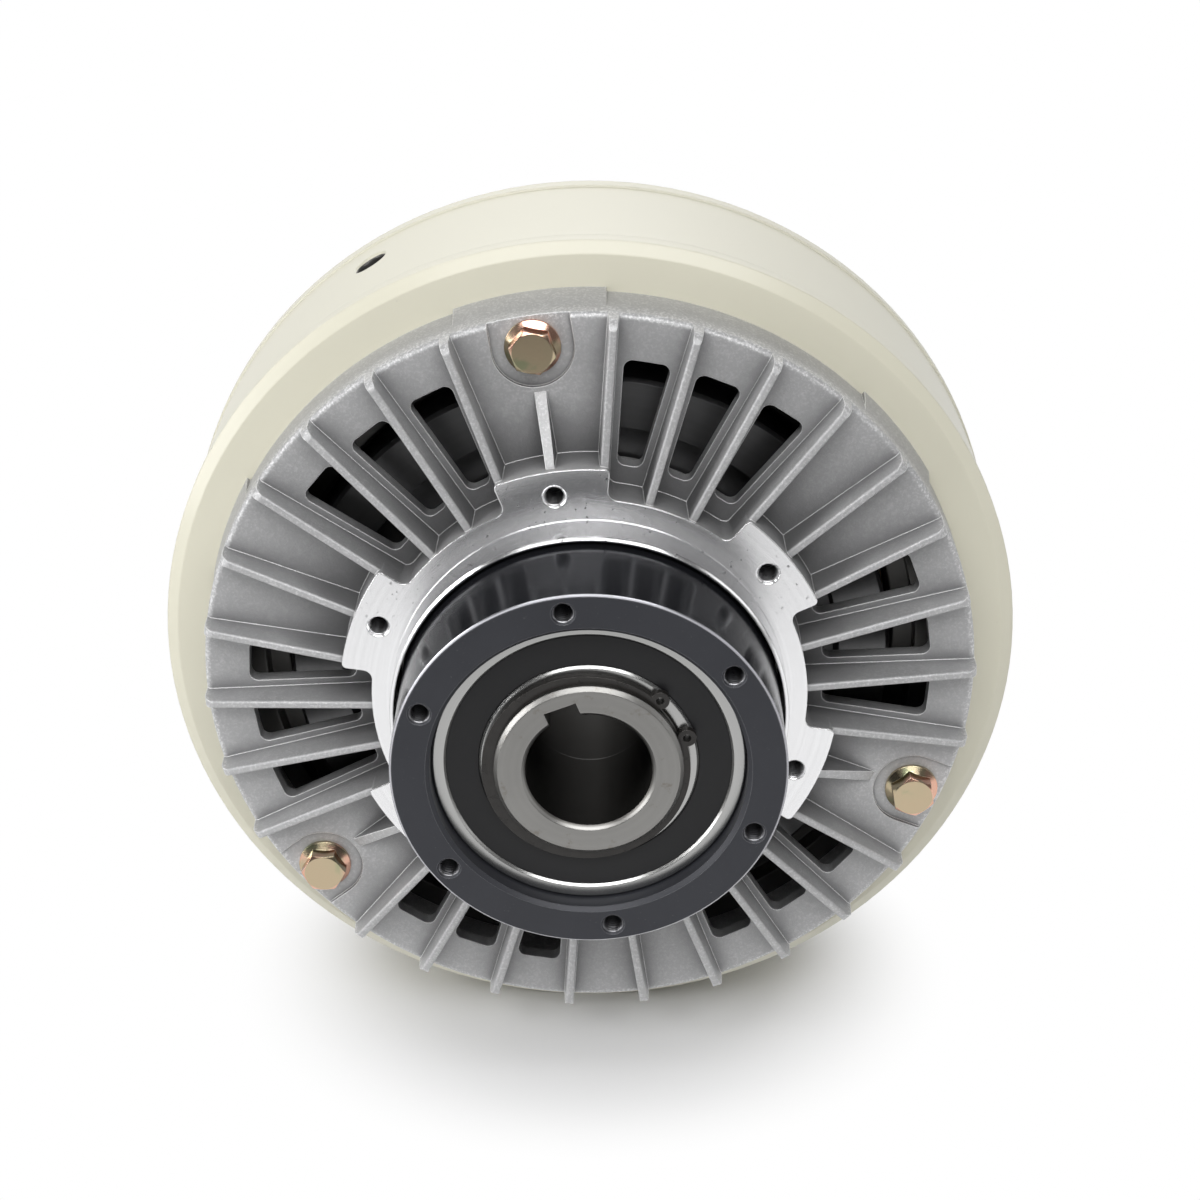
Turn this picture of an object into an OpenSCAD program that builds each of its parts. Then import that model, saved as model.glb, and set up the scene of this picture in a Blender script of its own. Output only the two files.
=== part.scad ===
// Magnetic powder clutch: stationary field, hollow output shaft, tapped input flange.
// The shaft axis lies along Y with the input flange towards -Y, and +Z is up.
// The origin is on the shaft axis in the plane of the front hub face, the mounting face.
// Modules work in a local frame at the middle of the field core, +Z being forward.
// Angles are counter-clockwise from +X, as seen from the input flange.
// The bearings and the hub are sized outwards from the shaft's bore, the rotor, the drum
// and the brackets' rims inwards from the field core; webs and windows lie between them.

/* [Field core] */
// Outer diameter over the rims of the field core
core_d = 219; // [212:1:226]
// Width of the field core between its two faces
core_w = 54; // [50:1:60]
// Width of the rim at each end of the core
rim_w = 6; // [4:0.5:9]
// Radial step from the rims down to the middle of the core
rim_step = 0.5; // [0.2:0.1:1]
// Radial size of the chamfer at the outer edges
rim_chamfer_r = 3; // [1:0.5:4]
// Axial size of the chamfer at the outer edges
rim_chamfer_z = 2; // [1:0.5:3]
// Thickness of the core's outer wall
shell_wall = 6.5; // [5:0.5:8]
// Thickness of the core's end walls
core_wall = 13; // [11:0.5:15]
// Radial thickness of the coil chamber
coil_t = 18.5; // [16:0.5:20]
// Radial thickness of the poles
pole_t = 6; // [5:0.5:8]
// Length of the bare ring between the two poles
pole_gap = 10; // [6:1:14]
// Depth of the wider mouth in each end wall
mouth_depth = 6; // [4:0.5:8]
// Air gap between the poles and the drum
air_gap = 1; // [0.5:0.1:1.5]
// Diameter of the tapped lead outlet in the shell
outlet_d = 8.5; // [6:0.5:10]
// Angle of the lead outlet
outlet_angle = 121; // [100:1:140]
// Distance of the lead outlet behind the middle of the core
outlet_back = 7; // [0:0.5:8]
// Chamfer at the mouth of the lead outlet
outlet_chamfer = 0.8; // [0.4:0.1:1.2]

/* [Bracket castings] */
// Height of the casting floor over the core face
web_h = 15.8; // [14:0.2:17]
// Thickness of the casting floor
web_t = 4; // [3:0.2:5]
// Radial distance of the skirt inside the core's outer diameter
skirt_inset = 12.2; // [10:0.2:14]
// Thickness of the skirt
skirt_t = 8; // [6:0.5:9]
// Radius of the shoulder between floor and skirt
shoulder_r = 1.5; // [1:0.25:3]
// Extra radius of the ears at the foot of the skirt
ear_extra = 1.1; // [0.5:0.1:2]
// Height over which the ears draw in to the skirt
ear_h = 12.5; // [4:0.5:13]
// Half of the angle of the ears at the bolts
ear_half = 11; // [8:0.5:14]
// Half of the angle of the ears between the bolts
small_ear_half = 8; // [6:0.5:12]
// Number of rib positions round the casting
rib_count = 30; // [30:30:30]
// Thickness of a rib at its root
rib_root_w = 3.4; // [2.6:0.1:4]
// Thickness of a rib at its top
rib_top_w = 2.1; // [1.5:0.1:2.5]
// Drop of a full rib's top from the hub face, at the hub
rib_hub_drop = 1; // [0.5:0.1:2]
// Height of a front rib over the casting floor, at its outer end
rib_rise = 6.3; // [5:0.1:8]
// Radius that rounds the outer end of a rib
rib_end_r = 3.5; // [2:0.5:5]
// Radial distance of the ribs' outer ends inside the skirt
rib_end_set = 0.1; // [0.1:0.1:0.6]
// Radial distance from the end of a short rib to the bolt circle
short_rib_gap = 11.5; // [11:0.5:16]
// Radial wall between the bearing housing and the windows
window_hub_gap = 4; // [3:0.5:6]
// Radial wall between the windows and the outside of the skirt
window_rim_gap = 11.3; // [10:0.1:15]
// Distance from a rib's middle plane to the window's edge
window_edge = 3.2; // [2.6:0.1:3.6]
// Corner radius of the windows
window_corner = 2.2; // [1.5:0.1:2.5]
// Radial gap between the input flange and the brackets' bores
flange_gap = 1; // [0.5:0.1:2]
// Wall of the pilot on the front bracket
pilot_wall = 1; // [0.8:0.1:2]
// Length of the pilot ahead of the hub face
pilot_len = 10.5; // [8:0.5:13]
// Radial width of the hub face outside the pilot, between its lobes
hub_step = 5.2; // [4:0.1:7]
// Radial height of the hub face's lobes
lobe_reach = 7.8; // [6:0.2:10]
// Half of the angle that a lobe spans
lobe_half = 13.2; // [12.8:0.1:13.6]
// Outer corner radius of the lobes
lobe_corner = 1.25; // [0.5:0.25:3]
// Fillet radius where the lobes' sides meet the ring of the hub face
lobe_fillet = 2.5; // [1.5:0.25:3]
// Height of the front hub face over the core face
front_hub_h = 27; // [25:0.5:30]
// Height of the rear hub face over the core face
rear_hub_h = 21; // [20:0.5:24]
// Radial distance from the pilot to the circle of the hub face's tapped holes
hub_hole_out = 6.5; // [5:0.5:8]
// Depth of the tapped holes in the hub face
hub_hole_depth = 8.5; // [7:0.5:9]
// Wall of the bearing housing behind the floor
housing_wall = 5; // [4:0.5:7]

/* [Bracket bolts] */
// Radial distance of the bolt circle inside the core's outer diameter
bolt_inset = 20; // [19:0.5:20.5]
// Number of bolts in each bracket
bolt_count = 3; // [3:1:3]
// Angle of the first bolt
bolt_angle = 98.6; // [90:0.1:102]
// Depth of the bolts' spot faces in the casting floor
seat_sink = 1.2; // [0.4:0.1:2]
// Width of the spot face outside the bolt's flange
seat_rim = 3.2; // [1:0.1:4]
// Thread diameter of the bolts
bolt_d = 6; // [5:0.5:6.5]
// Length of the bolts' thread in the core
bolt_grip = 9.4; // [6:0.2:11]
// Width across the flats of the bolt head
bolt_af = 10; // [8:0.5:10]
// Diameter of the bolt's flange
bolt_flange_d = 13.6; // [12.6:0.2:15]
// Thickness of the bolt's flange at its edge
bolt_flange_t = 0.8; // [0.6:0.1:1.5]
// Height of the slope from the flange's edge to the hexagon
bolt_slope_h = 1.2; // [0.8:0.1:2]
// Height of the bolt head
bolt_head_h = 5.4; // [5:0.2:7]
// Radial set-in of the head's flat top from the hexagon's flats
bolt_top_set = 0.15; // [0.05:0.05:0.5]

/* [Input flange] */
// Wall of the flange round the front shaft bearing
flange_wall = 9.5; // [9:0.5:12]
// Distance of the flange face ahead of the core face
flange_h = 64; // [62:0.5:67]
// Radial distance from the front shaft bearing to the circle of the flange's tapped holes
flange_hole_out = 5; // [4:0.5:5.5]
// Tapping-drill diameter of the flange and hub face holes
tap_d = 5; // [4.2:0.1:5.2]
// Chamfer at the mouths of the tapped holes
tap_chamfer = 0.4; // [0.2:0.1:0.4]
// Number of tapped holes on each circle
tap_count = 6; // [6:1:6]
// Angle of the first tapped hole in the flange
flange_angle = 97.8; // [90:0.1:100]
// Depth of the tapped holes in the flange
flange_hole_depth = 12; // [8:1:16]
// Radial step from the front shaft bearing to the drum bearings' bore
drum_seat_step = 2.5; // [2:0.25:4]
// Thickness of the shoulder behind the front shaft bearing
stop_t = 3; // [2:0.5:6]
// Radial height of the shoulders behind the bearings
stop_h = 3; // [2:0.25:4]

/* [Shaft] */
// Bore of the hollow shaft
bore_d = 30; // [27:0.5:32]
// Wall of the shaft at its bearing seats
journal_wall = 7.5; // [7:0.5:9]
// Radial step from the bearing seats to the middle of the shaft
body_step = 3.5; // [3:0.25:5]
// Distance of the shaft's front end behind the flange face
nose_set = 1; // [0:0.25:2]
// Length of the shaft behind its rear circlip
shaft_end = 2.25; // [1.5:0.25:5]
// Width of the keyway in the bore
keyway_w = 8; // [6:0.5:10]
// Depth of the keyway in the bore
keyway_t = 3.3; // [2.5:0.1:3.5]
// Angle of the keyway in the bore
keyway_angle = 111.6; // [90:0.1:130]
// Length of the fitted bore at each end of the shaft
bore_land = 32; // [25:1:40]
// Radial relief of the bore between its fitted ends
bore_relief = 0.5; // [0.2:0.1:1]

/* [Bearings] */
// Radial section of the front shaft bearing
nose_brg_t = 15; // [13.5:0.5:17]
// Width of the front shaft bearing
nose_brg_w = 16; // [14:0.5:18]
// Distance of the front shaft bearing behind the flange face
nose_brg_set = 5; // [4.5:0.25:6]
// Number of balls in the front shaft bearing
nose_brg_balls = 13; // [10:1:14]
// Radial section of the rear shaft bearing
tail_brg_t = 11.5; // [10.5:0.5:12.5]
// Width of the rear shaft bearing
tail_brg_w = 12; // [11:0.5:14]
// Number of balls in the rear shaft bearing
tail_brg_balls = 15; // [12:1:16]
// Radial section of the drum bearings
drum_brg_t = 10; // [9:0.5:11]
// Width of the drum bearings
drum_brg_w = 10; // [9:0.5:11]
// Distance of the drum bearings outside the core faces
drum_brg_h = 5.5; // [5:0.25:6]
// Number of balls in a drum bearing
drum_brg_balls = 24; // [18:1:26]
// Thickness of the rubber seals in the front shaft bearing
seal_t = 1.6; // [1:0.1:2]
// Thickness of the steel shields in the other bearings
shield_t = 0.5; // [0.4:0.1:0.8]
// Running clearance between balls and rings
ball_play = 0.05; // [0.03:0.01:0.08]

/* [Drum and rotor] */
// Radial thickness of the drum
drum_wall = 11; // [10:0.5:12]
// Distance of the drum's ends inside the core faces
drum_inset = 6.5; // [5:0.5:7]
// Thickness of the side plates
plate_t = 5.5; // [5:0.25:6]
// Radial gap between the bearing housing and the thick land at the plate's rim
land_gap = 9; // [8:0.5:11]
// Distance of the land's face outside the core face
land_h = 4; // [2:0.5:5]
// Radial gap that holds the powder
powder_gap = 1.5; // [1:0.1:2]
// Side clearance between rotor and side plates
rotor_side = 2; // [1:0.25:3]
// Radial thickness of the rotor's rim
rotor_rim = 10; // [8:0.5:12]
// Thickness of the rotor's web
rotor_web = 12; // [8:0.5:16]
// Wall of the rotor's hub
rotor_hub_wall = 9; // [8:0.5:12]
// Width of the rotor key
rotor_key_w = 8; // [7:0.5:10]
// Height of the rotor key
rotor_key_h = 7; // [6:0.5:8]
// Depth of the key's seat in the shaft
rotor_key_t = 4; // [3:0.5:5]
// Distance from the web's lightening holes to the rotor's rim and hub
rotor_hole_edge = 3; // [2:0.5:6]
// Radial height of the felt powder seals
felt_h = 4; // [3.5:0.25:5]

/* [Screws] */
// Thread diameter of the screws in the side plates
screw_d = 5; // [4:0.5:5.5]
// Diameter of their heads
screw_head_d = 8.4; // [7:0.1:8.8]
// Height of their heads
screw_head_h = 3; // [2:0.25:3.5]
// Width across the corners of their sockets
screw_socket_d = 4.6; // [3:0.2:5]
// Length of the plate screws' thread in the drum
plate_grip = 8.5; // [5:0.5:10]
// Length of the flange screws' thread in the input flange
flange_grip = 7.5; // [5:0.5:12]

/* [Circlips] */
// Thickness of the circlips
clip_t = 1.75; // [1.5:0.05:2]
// Depth of the circlip grooves
clip_groove = 1.2; // [0.9:0.1:1.4]
// Greatest radial width of the circlips on the shaft
clip_w = 4.2; // [3.5:0.1:4.5]
// Offset that makes these circlips narrower towards their eyes
clip_ecc = 0.8; // [0.4:0.1:1]
// Radius of a circlip's eye
eye_r = 2.2; // [1.8:0.1:2.4]
// Radius of the pliers hole in an eye
eye_hole_r = 1; // [0.7:0.1:1.2]
// Angle of the middle of the front circlip's gap
clip_angle = 33; // [0:1:90]
// Angle between a circlip's two eyes
clip_eyes = 28; // [24:1:34]
// Radial width of the plain circlips that hold the drum bearings
drum_clip_w = 3.6; // [3:0.1:4]

/* [Fits] */
// Clearance between pieces that are assembled together
fit = 0.02; // [0.01:0.01:0.05]
// Clearance round a screw's shank in its hole
screw_play = 0.3; // [0.1:0.05:0.5]
// Clearance between a seal and the surface it runs on
seal_play = 0.08; // [0.05:0.01:0.1]
// Clearance between the powder and the rotor
powder_play = 0.15; // [0.05:0.05:0.3]
// Clearance between the coil and the shell
coil_play = 0.4; // [0.2:0.1:0.8]
// Smoothness of round shapes in the preview
$fn = 96; // [48:12:180]

/* [Hidden] */
eps = 0.01;
far = 400;
edge = 0.6;
round_r = 0.7;
ear_merge = 0.2;
head_turns = [11, 21, 1];

// Radii from the shaft's bore outwards
bore_r = bore_d / 2;
journal_r = bore_r + journal_wall;
body_r = journal_r + body_step;
tail_bore_r = body_r + felt_h;
tail_brg_r = journal_r + tail_brg_t;
nose_brg_r = journal_r + nose_brg_t;
drum_seat_r = nose_brg_r + drum_seat_step;
drum_brg_r = drum_seat_r + drum_brg_t;
housing_r = drum_brg_r + housing_wall;
flange_hole_r = nose_brg_r + flange_hole_out;
flange_r = nose_brg_r + flange_wall;
collar_r = flange_r + flange_gap;
pilot_r = collar_r + pilot_wall;
hub_hole_r = pilot_r + hub_hole_out;
hub_r = pilot_r + hub_step;
lobe_r = hub_r + lobe_reach;
rotor_hub_r = body_r + rotor_hub_wall;

// Radii from the outside of the field core inwards
core_r = core_d / 2;
cover_r = core_r - rim_chamfer_r;
shell_r = core_r - rim_step;
chamber_r = shell_r - shell_wall;
mouth_r = chamber_r - coil_t;
pole_r = mouth_r - pole_t;
drum_r = pole_r - air_gap;
drum_in_r = drum_r - drum_wall;
rotor_r = drum_in_r - powder_gap;
rotor_rim_r = rotor_r - rotor_rim;
bolt_r = core_r - bolt_inset;
short_rib_r = bolt_r - short_rib_gap;
skirt_r = core_r - skirt_inset;
window_in_r = housing_r + window_hub_gap;
land_in_r = housing_r + land_gap;
window_out_r = skirt_r - window_rim_gap;

// Places along the shaft axis, forward from the middle of the core
face_z = core_w / 2;
chamber_half = face_z - core_wall;
pole_out_z = face_z - mouth_depth;
hub_z = face_z + front_hub_h;
flange_z = face_z + flange_h;
nose_z = flange_z - nose_set;
nose_brg_z = flange_z - nose_brg_set;
nose_shoulder_z = nose_brg_z - nose_brg_w;
drum_brg_z = face_z + drum_brg_h;
drum_brg_end_z = drum_brg_z + drum_brg_w;
tube_end_z = drum_brg_end_z + clip_t + 2;
tail_brg_z = 0.25 - tube_end_z;
tail_shoulder_z = tail_brg_z + tail_brg_w;
tail_z = tail_brg_z - clip_t - shaft_end;
drum_half = face_z - drum_inset;
plate_z = drum_half + plate_t;
land_z = face_z + land_h;
rotor_half = drum_half - rotor_side;
rotor_hub_half = rotor_half - 1.5;
key_half = rotor_hub_half - 2;

// Heights over the core face
seat_h = web_h - seat_sink;
rib_outer_h = web_h + rib_rise;
drum_brg_top = drum_brg_h + drum_brg_w;

// Bolts, screws and patterns
seat_r = bolt_flange_d / 2 + seat_rim;
bolt_len = seat_h + bolt_grip;
grip_play = 1.8;
screw_r = screw_d / 2;
screw_head_r = screw_head_d / 2;
land_screw_r = (drum_r + drum_in_r) / 2 - 1;
tail_screw_r = (tail_bore_r + drum_seat_r) / 2;
rib_pitch = 360 / rib_count;
lobe_count = 2 * bolt_count;
lobe_pitch = 360 / lobe_count;

// Bearings: the ball and the rings' ribs as shares of the radial section between the rings
ball_share = 0.3;
rib_share = 0.24;
nose_pitch_r = (journal_r + nose_brg_r) / 2;
nose_ball_r = ball_share * nose_brg_t;
nose_rib_in = journal_r + rib_share * nose_brg_t;
nose_rib_out = nose_brg_r - rib_share * nose_brg_t;
tail_pitch_r = (journal_r + tail_brg_r) / 2;
tail_ball_r = ball_share * tail_brg_t;
tail_rib_in = journal_r + rib_share * tail_brg_t;
tail_rib_out = tail_brg_r - rib_share * tail_brg_t;
drum_pitch_r = (drum_seat_r + drum_brg_r) / 2;
drum_ball_r = ball_share * drum_brg_t;
drum_rib_in = drum_seat_r + rib_share * drum_brg_t;
drum_rib_out = drum_brg_r - rib_share * drum_brg_t;

// Puts the local frame in the part's frame: forward becomes -Y, the hub face y = 0
module on_axis() {
    rotate([90, 0, 0]) translate([0, 0, -hub_z]) children();
}

// Turns a section drawn as [radius, height] about the shaft axis
module turned(section) {
    rotate_extrude() polygon(section);
}

// Plain ring between two heights
module ring(outer, inner, low, high) {
    turned([[inner, low], [outer, low], [outer, high], [inner, high]]);
}

// Repeats its children round the axis
module around(count, first) {
    for (i = [0 : count - 1]) {
        rotate([0, 0, first + i * 360 / count]) children();
    }
}

// Drilled hole whose mouth is at the given height, with a small chamfer
module tapped(radius, mouth, depth) {
    translate([0, 0, mouth - depth]) cylinder(r = radius, h = depth + eps);
    translate([0, 0, mouth - tap_chamfer])
        cylinder(r1 = radius, r2 = radius + tap_chamfer, h = tap_chamfer + eps);
}

// Field core, coil and poles

// Steel shell with its front wall and front pole; the mouth of the wall clears the drum's land
module field_core() {
    color("ivory") on_axis() difference() {
        union() {
            ring(shell_r, chamber_r, -face_z + rim_w - eps, face_z - rim_w + eps);
            turned([
                [chamber_r, face_z - rim_w], [core_r, face_z - rim_w],
                [core_r, face_z - rim_chamfer_z], [cover_r, face_z], [chamber_r, face_z]
            ]);
            turned([
                [chamber_r, -face_z + rim_w], [core_r, -face_z + rim_w],
                [core_r, -face_z + rim_chamfer_z], [cover_r, -face_z], [chamber_r, -face_z]
            ]);
            turned([
                [mouth_r, chamber_half], [chamber_r + eps, chamber_half],
                [chamber_r + eps, face_z], [mouth_r, face_z]
            ]);
            turned([
                [pole_r, pole_gap / 2], [mouth_r + eps, pole_gap / 2],
                [mouth_r + eps, pole_out_z], [pole_r + 1, pole_out_z], [pole_r, pole_out_z - 1]
            ]);
        }
        core_bolt_holes(face_z);
        lead_outlet();
    }
}

// Steel cover that closes the core at the rear and carries the rear pole
module field_cover() {
    color("ivory") on_axis() mirror([0, 0, 1]) difference() {
        union() {
            turned([
                [mouth_r, chamber_half], [chamber_r - fit, chamber_half],
                [chamber_r - fit, face_z], [mouth_r, face_z]
            ]);
            turned([
                [pole_r, pole_gap / 2], [mouth_r + eps, pole_gap / 2],
                [mouth_r + eps, pole_out_z], [pole_r + 1, pole_out_z], [pole_r, pole_out_z - 1]
            ]);
        }
        core_bolt_holes(face_z);
    }
}

// Threaded holes for the bracket bolts
module core_bolt_holes(mouth) {
    around(bolt_count, bolt_angle) translate([bolt_r, 0, 0])
        tapped(bolt_d / 2 + fit, mouth, bolt_grip + grip_play);
}

// Radial tapped hole through the shell for the coil's leads
module lead_outlet() {
    rotate([0, 0, outlet_angle]) translate([0, 0, -outlet_back]) rotate([0, 90, 0]) {
        translate([0, 0, chamber_r - 1]) cylinder(d = outlet_d, h = 2 * shell_wall);
        translate([0, 0, shell_r - outlet_chamfer])
            cylinder(d1 = outlet_d, d2 = outlet_d + 4 * outlet_chamfer, h = 2 * outlet_chamfer);
    }
}

// Varnished winding that fills the chamber between the poles and the shell
module field_coil() {
    color("sienna") on_axis()
        ring(chamber_r - coil_play, mouth_r + fit, -chamber_half + fit, chamber_half - fit);
}

// Brass ring that keeps the two poles apart
module pole_spacer() {
    color("goldenrod") on_axis()
        ring(mouth_r, pole_r, -pole_gap / 2 + fit, pole_gap / 2 - fit);
}

// Bracket castings

// Solid of revolution inside which every outer form of the casting stays
module skirt_envelope(top) {
    rotate_extrude() {
        square([skirt_r - shoulder_r, top]);
        square([skirt_r, top - shoulder_r]);
        translate([skirt_r - shoulder_r, top - shoulder_r]) intersection() {
            circle(r = shoulder_r);
            square(shoulder_r);
        }
    }
}

// Height of a rib's outer end: the lower rear casting has lower ribs
function rib_end_h(inner_h) = min(rib_outer_h, inner_h - 1);

// Drafted cross-section of a rib, its rounded top on y = 0
module rib_section() {
    half_root = rib_root_w / 2;
    half_top = rib_top_w / 2;
    depth = web_h;
    polygon([
        [-half_root, -depth], [half_root, -depth], [half_top, -round_r],
        [half_top - round_r, 0], [round_r - half_top, 0], [-half_top, -round_r]
    ]);
    for (side = [-1, 1]) {
        translate([side * (half_top - round_r), -round_r]) circle(r = round_r);
    }
}

// Side view of a full rib as [radius, height]; its outer end is rounded, its top is left
// higher than the rib so that only the sloping section shapes it
module rib_side(inner_h, end_r, slope) {
    start_r = hub_r - 3;
    corner_x = end_r - rib_end_r;
    corner_y = inner_h - slope * (corner_x - hub_r) - 0.97 * rib_end_r;
    polygon([
        [start_r, web_h - 1], [corner_x, web_h - 3], [end_r, web_h - 3], [end_r, corner_y],
        [corner_x, corner_y], [corner_x, inner_h + 5], [start_r, inner_h + 5]
    ]);
    translate([corner_x, corner_y]) circle(r = rib_end_r);
}

// One full rib along local +X: its side view cut to the drafted, sloping section
module full_rib(inner_h) {
    end_r = skirt_r - rib_end_set;
    slope = (inner_h - rib_end_h(inner_h)) / (end_r - hub_r);
    intersection() {
        rotate([90, 0, 0]) linear_extrude(rib_root_w + 1, center = true) rib_side(inner_h, end_r, slope);
        translate([hub_r, 0, inner_h]) rotate([0, atan(slope), 0]) translate([-rib_end_r, 0, 0])
            rotate([90, 0, 90]) linear_extrude(end_r - hub_r + 3 * rib_end_r) rib_section();
    }
}

// Short rib on the middle of a bolt lobe, running out on the floor
module short_rib(inner_h) {
    intersection() {
        rotate([90, 0, 0]) linear_extrude(rib_root_w + 1, center = true) polygon([
            [hub_r, web_h - 1], [short_rib_r + 1, web_h - 1], [short_rib_r, web_h + 0.3],
            [lobe_r - 1, inner_h - 0.5], [hub_r, inner_h - 0.5]
        ]);
        translate([hub_r, 0, inner_h]) rotate([90, 0, 90]) linear_extrude(far) rib_section();
    }
}

// Outline of the hub face: a disc with six lobes, rounded outside and in
module hub_outline() {
    circle(r = hub_r);
    around(lobe_count, bolt_angle) lobe_outline();
}

// One lobe, pointing along +X, with rounded corners and filleted feet
module lobe_outline() {
    corner_r = lobe_r - lobe_corner;
    lean = asin(lobe_corner / corner_r);
    corner_a = lobe_half - lean;
    side_r = corner_r * cos(lean);
    foot_r = sqrt(pow(hub_r + lobe_fillet, 2) - pow(lobe_fillet, 2));
    intersection() {
        circle(r = lobe_r);
        polygon([
            [0, 0],
            [side_r * cos(lobe_half), -side_r * sin(lobe_half)],
            [corner_r * cos(corner_a), -corner_r * sin(corner_a)],
            [2 * lobe_r * cos(corner_a), -2 * lobe_r * sin(corner_a)],
            [2 * lobe_r * cos(corner_a), 2 * lobe_r * sin(corner_a)],
            [corner_r * cos(corner_a), corner_r * sin(corner_a)],
            [side_r * cos(lobe_half), side_r * sin(lobe_half)]
        ]);
    }
    for (side = [-1, 1]) {
        rotate(side * corner_a) translate([corner_r, 0]) circle(r = lobe_corner);
        rotate(side * lobe_half) difference() {
            translate([hub_r - 2, side < 0 ? -lobe_fillet : 0]) square([foot_r - hub_r + 2, lobe_fillet]);
            translate([foot_r, side * lobe_fillet]) circle(r = lobe_fillet);
        }
    }
}

// Outline of one window, its middle along +X and its sides parallel to the ribs;
// the straight edges lie a hair inside the corner circles, so that they cross cleanly
module window_outline() {
    half = rib_pitch / 2;
    reach = window_edge + window_corner;
    in_x = window_in_r + window_corner;
    out_x = window_out_r - window_corner;
    in_y = in_x * tan(half) - reach;
    out_y = out_x * tan(half) - reach;
    flat = 0.998 * window_corner;
    side_x = flat * sin(half);
    side_y = flat * cos(half);
    polygon([
        [in_x - flat, -in_y], [in_x - side_x, -in_y - side_y],
        [out_x - side_x, -out_y - side_y], [out_x + flat, -out_y],
        [out_x + flat, out_y], [out_x - side_x, out_y + side_y],
        [in_x - side_x, in_y + side_y], [in_x - flat, in_y]
    ]);
    for (side = [-1, 1]) {
        translate([in_x, side * in_y]) circle(r = window_corner);
        translate([out_x, side * out_y]) circle(r = window_corner);
    }
}

// Whole casting, its foot on z = 0 and its hub face at the given height
module bracket_casting(hub_h) {
    rib_inner_h = hub_h - rib_hub_drop;
    difference() {
        union() {
            difference() {
                skirt_envelope(web_h);
                translate([0, 0, -eps]) cylinder(r = skirt_r - skirt_t, h = web_h - web_t + eps);
            }
            translate([0, 0, 0.5]) cylinder(r = housing_r, h = web_h - 0.5 - eps);
            translate([0, 0, web_h - 1]) linear_extrude(hub_h - web_h + 1) hub_outline();
            around(bolt_count, bolt_angle) bolt_post();
            around(bolt_count, bolt_angle) ear(ear_half);
            around(bolt_count, bolt_angle + lobe_pitch) ear(small_ear_half);
            for (i = [0 : rib_count - 1]) {
                if (i % (rib_count / bolt_count) != 0) {
                    rotate([0, 0, bolt_angle + i * rib_pitch]) full_rib(rib_inner_h);
                }
            }
            around(bolt_count, bolt_angle) short_rib(rib_inner_h);
        }
        for (lobe = [0 : lobe_count - 1]) {
            for (cell = [1.5, 2.5, 3.5]) {
                rotate([0, 0, bolt_angle + lobe * lobe_pitch + cell * rib_pitch])
                    translate([0, 0, web_h - web_t - 1])
                        linear_extrude(web_t + 2) window_outline();
            }
        }
        translate([0, 0, -1]) cylinder(r = drum_brg_r + fit, h = drum_brg_top + 1);
        translate([0, 0, drum_brg_h - clip_t - fit])
            cylinder(r = drum_brg_r + clip_groove, h = clip_t + 2 * fit);
        cylinder(r = collar_r, h = far);
        around(bolt_count, bolt_angle) {
            translate([0, 0, seat_h]) linear_extrude(web_h) seat_outline();
            translate([bolt_r, 0, -1]) cylinder(r = bolt_d / 2 + screw_play, h = seat_h + 10);
        }
    }
}

// Outline of one bolt's seat, open to the outside, along local +X; its straight sides lie
// a hair inside the circle, so that they cross cleanly
module seat_outline() {
    flat = 0.998 * seat_r;
    translate([bolt_r, 0]) circle(r = seat_r);
    translate([bolt_r, -flat]) square([far, 2 * flat]);
}

// Solid post that carries one bolt
module bolt_post() {
    intersection() {
        linear_extrude(web_h) seat_outline();
        skirt_envelope(web_h);
    }
}

// Wider foot of the skirt over the given half angle, drawn in to just inside the skirt
module ear(half) {
    intersection() {
        turned([
            [skirt_r - 2, 0], [skirt_r + ear_extra, 0],
            [skirt_r - ear_merge, ear_h], [skirt_r - 2, ear_h]
        ]);
        linear_extrude(ear_h) polygon([
            [0, 0], [far * cos(half), -far * sin(half)],
            [far * cos(half), far * sin(half)]
        ]);
    }
}

// Front casting with its machined pilot and six tapped holes
module front_bracket() {
    color("silver") on_axis() translate([0, 0, face_z]) difference() {
        union() {
            bracket_casting(front_hub_h);
            turned([
                [collar_r, front_hub_h - 3], [pilot_r, front_hub_h - 3],
                [pilot_r, front_hub_h + pilot_len - edge],
                [pilot_r - edge, front_hub_h + pilot_len], [collar_r, front_hub_h + pilot_len]
            ]);
        }
        around(tap_count, bolt_angle) translate([hub_hole_r, 0, 0])
            tapped(tap_d / 2, front_hub_h, hub_hole_depth);
    }
}

// Rear casting with a plain hub face
module rear_bracket() {
    color("silver") on_axis() mirror([0, 0, 1]) translate([0, 0, face_z])
        bracket_casting(rear_hub_h);
}

// Hexagon flange bolt standing on its seat, its shank towards -Z
module flange_bolt() {
    hex_r = bolt_af / sqrt(3);
    top_r = bolt_af / 2 - bolt_top_set;
    slope_z = bolt_head_h - (hex_r + 1 - top_r) * tan(30);
    translate([0, 0, -bolt_len]) cylinder(d = bolt_d, h = bolt_len + eps);
    cylinder(d = bolt_flange_d, h = bolt_flange_t);
    translate([0, 0, bolt_flange_t]) cylinder(d1 = bolt_flange_d, d2 = bolt_af, h = bolt_slope_h);
    intersection() {
        cylinder(r = hex_r, h = bolt_head_h, $fn = 6);
        turned([[0, 0], [hex_r + 1, 0], [hex_r + 1, slope_z], [top_r, bolt_head_h], [0, bolt_head_h]]);
    }
}

// The bolts of one bracket, each head left at its own turn
module bracket_bolts() {
    for (i = [0 : bolt_count - 1]) {
        rotate([0, 0, bolt_angle + i * 360 / bolt_count]) translate([bolt_r, 0, face_z + seat_h])
            rotate([0, 0, head_turns[i]]) flange_bolt();
    }
}

module front_bracket_bolts() {
    color("gold") on_axis() bracket_bolts();
}

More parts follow.
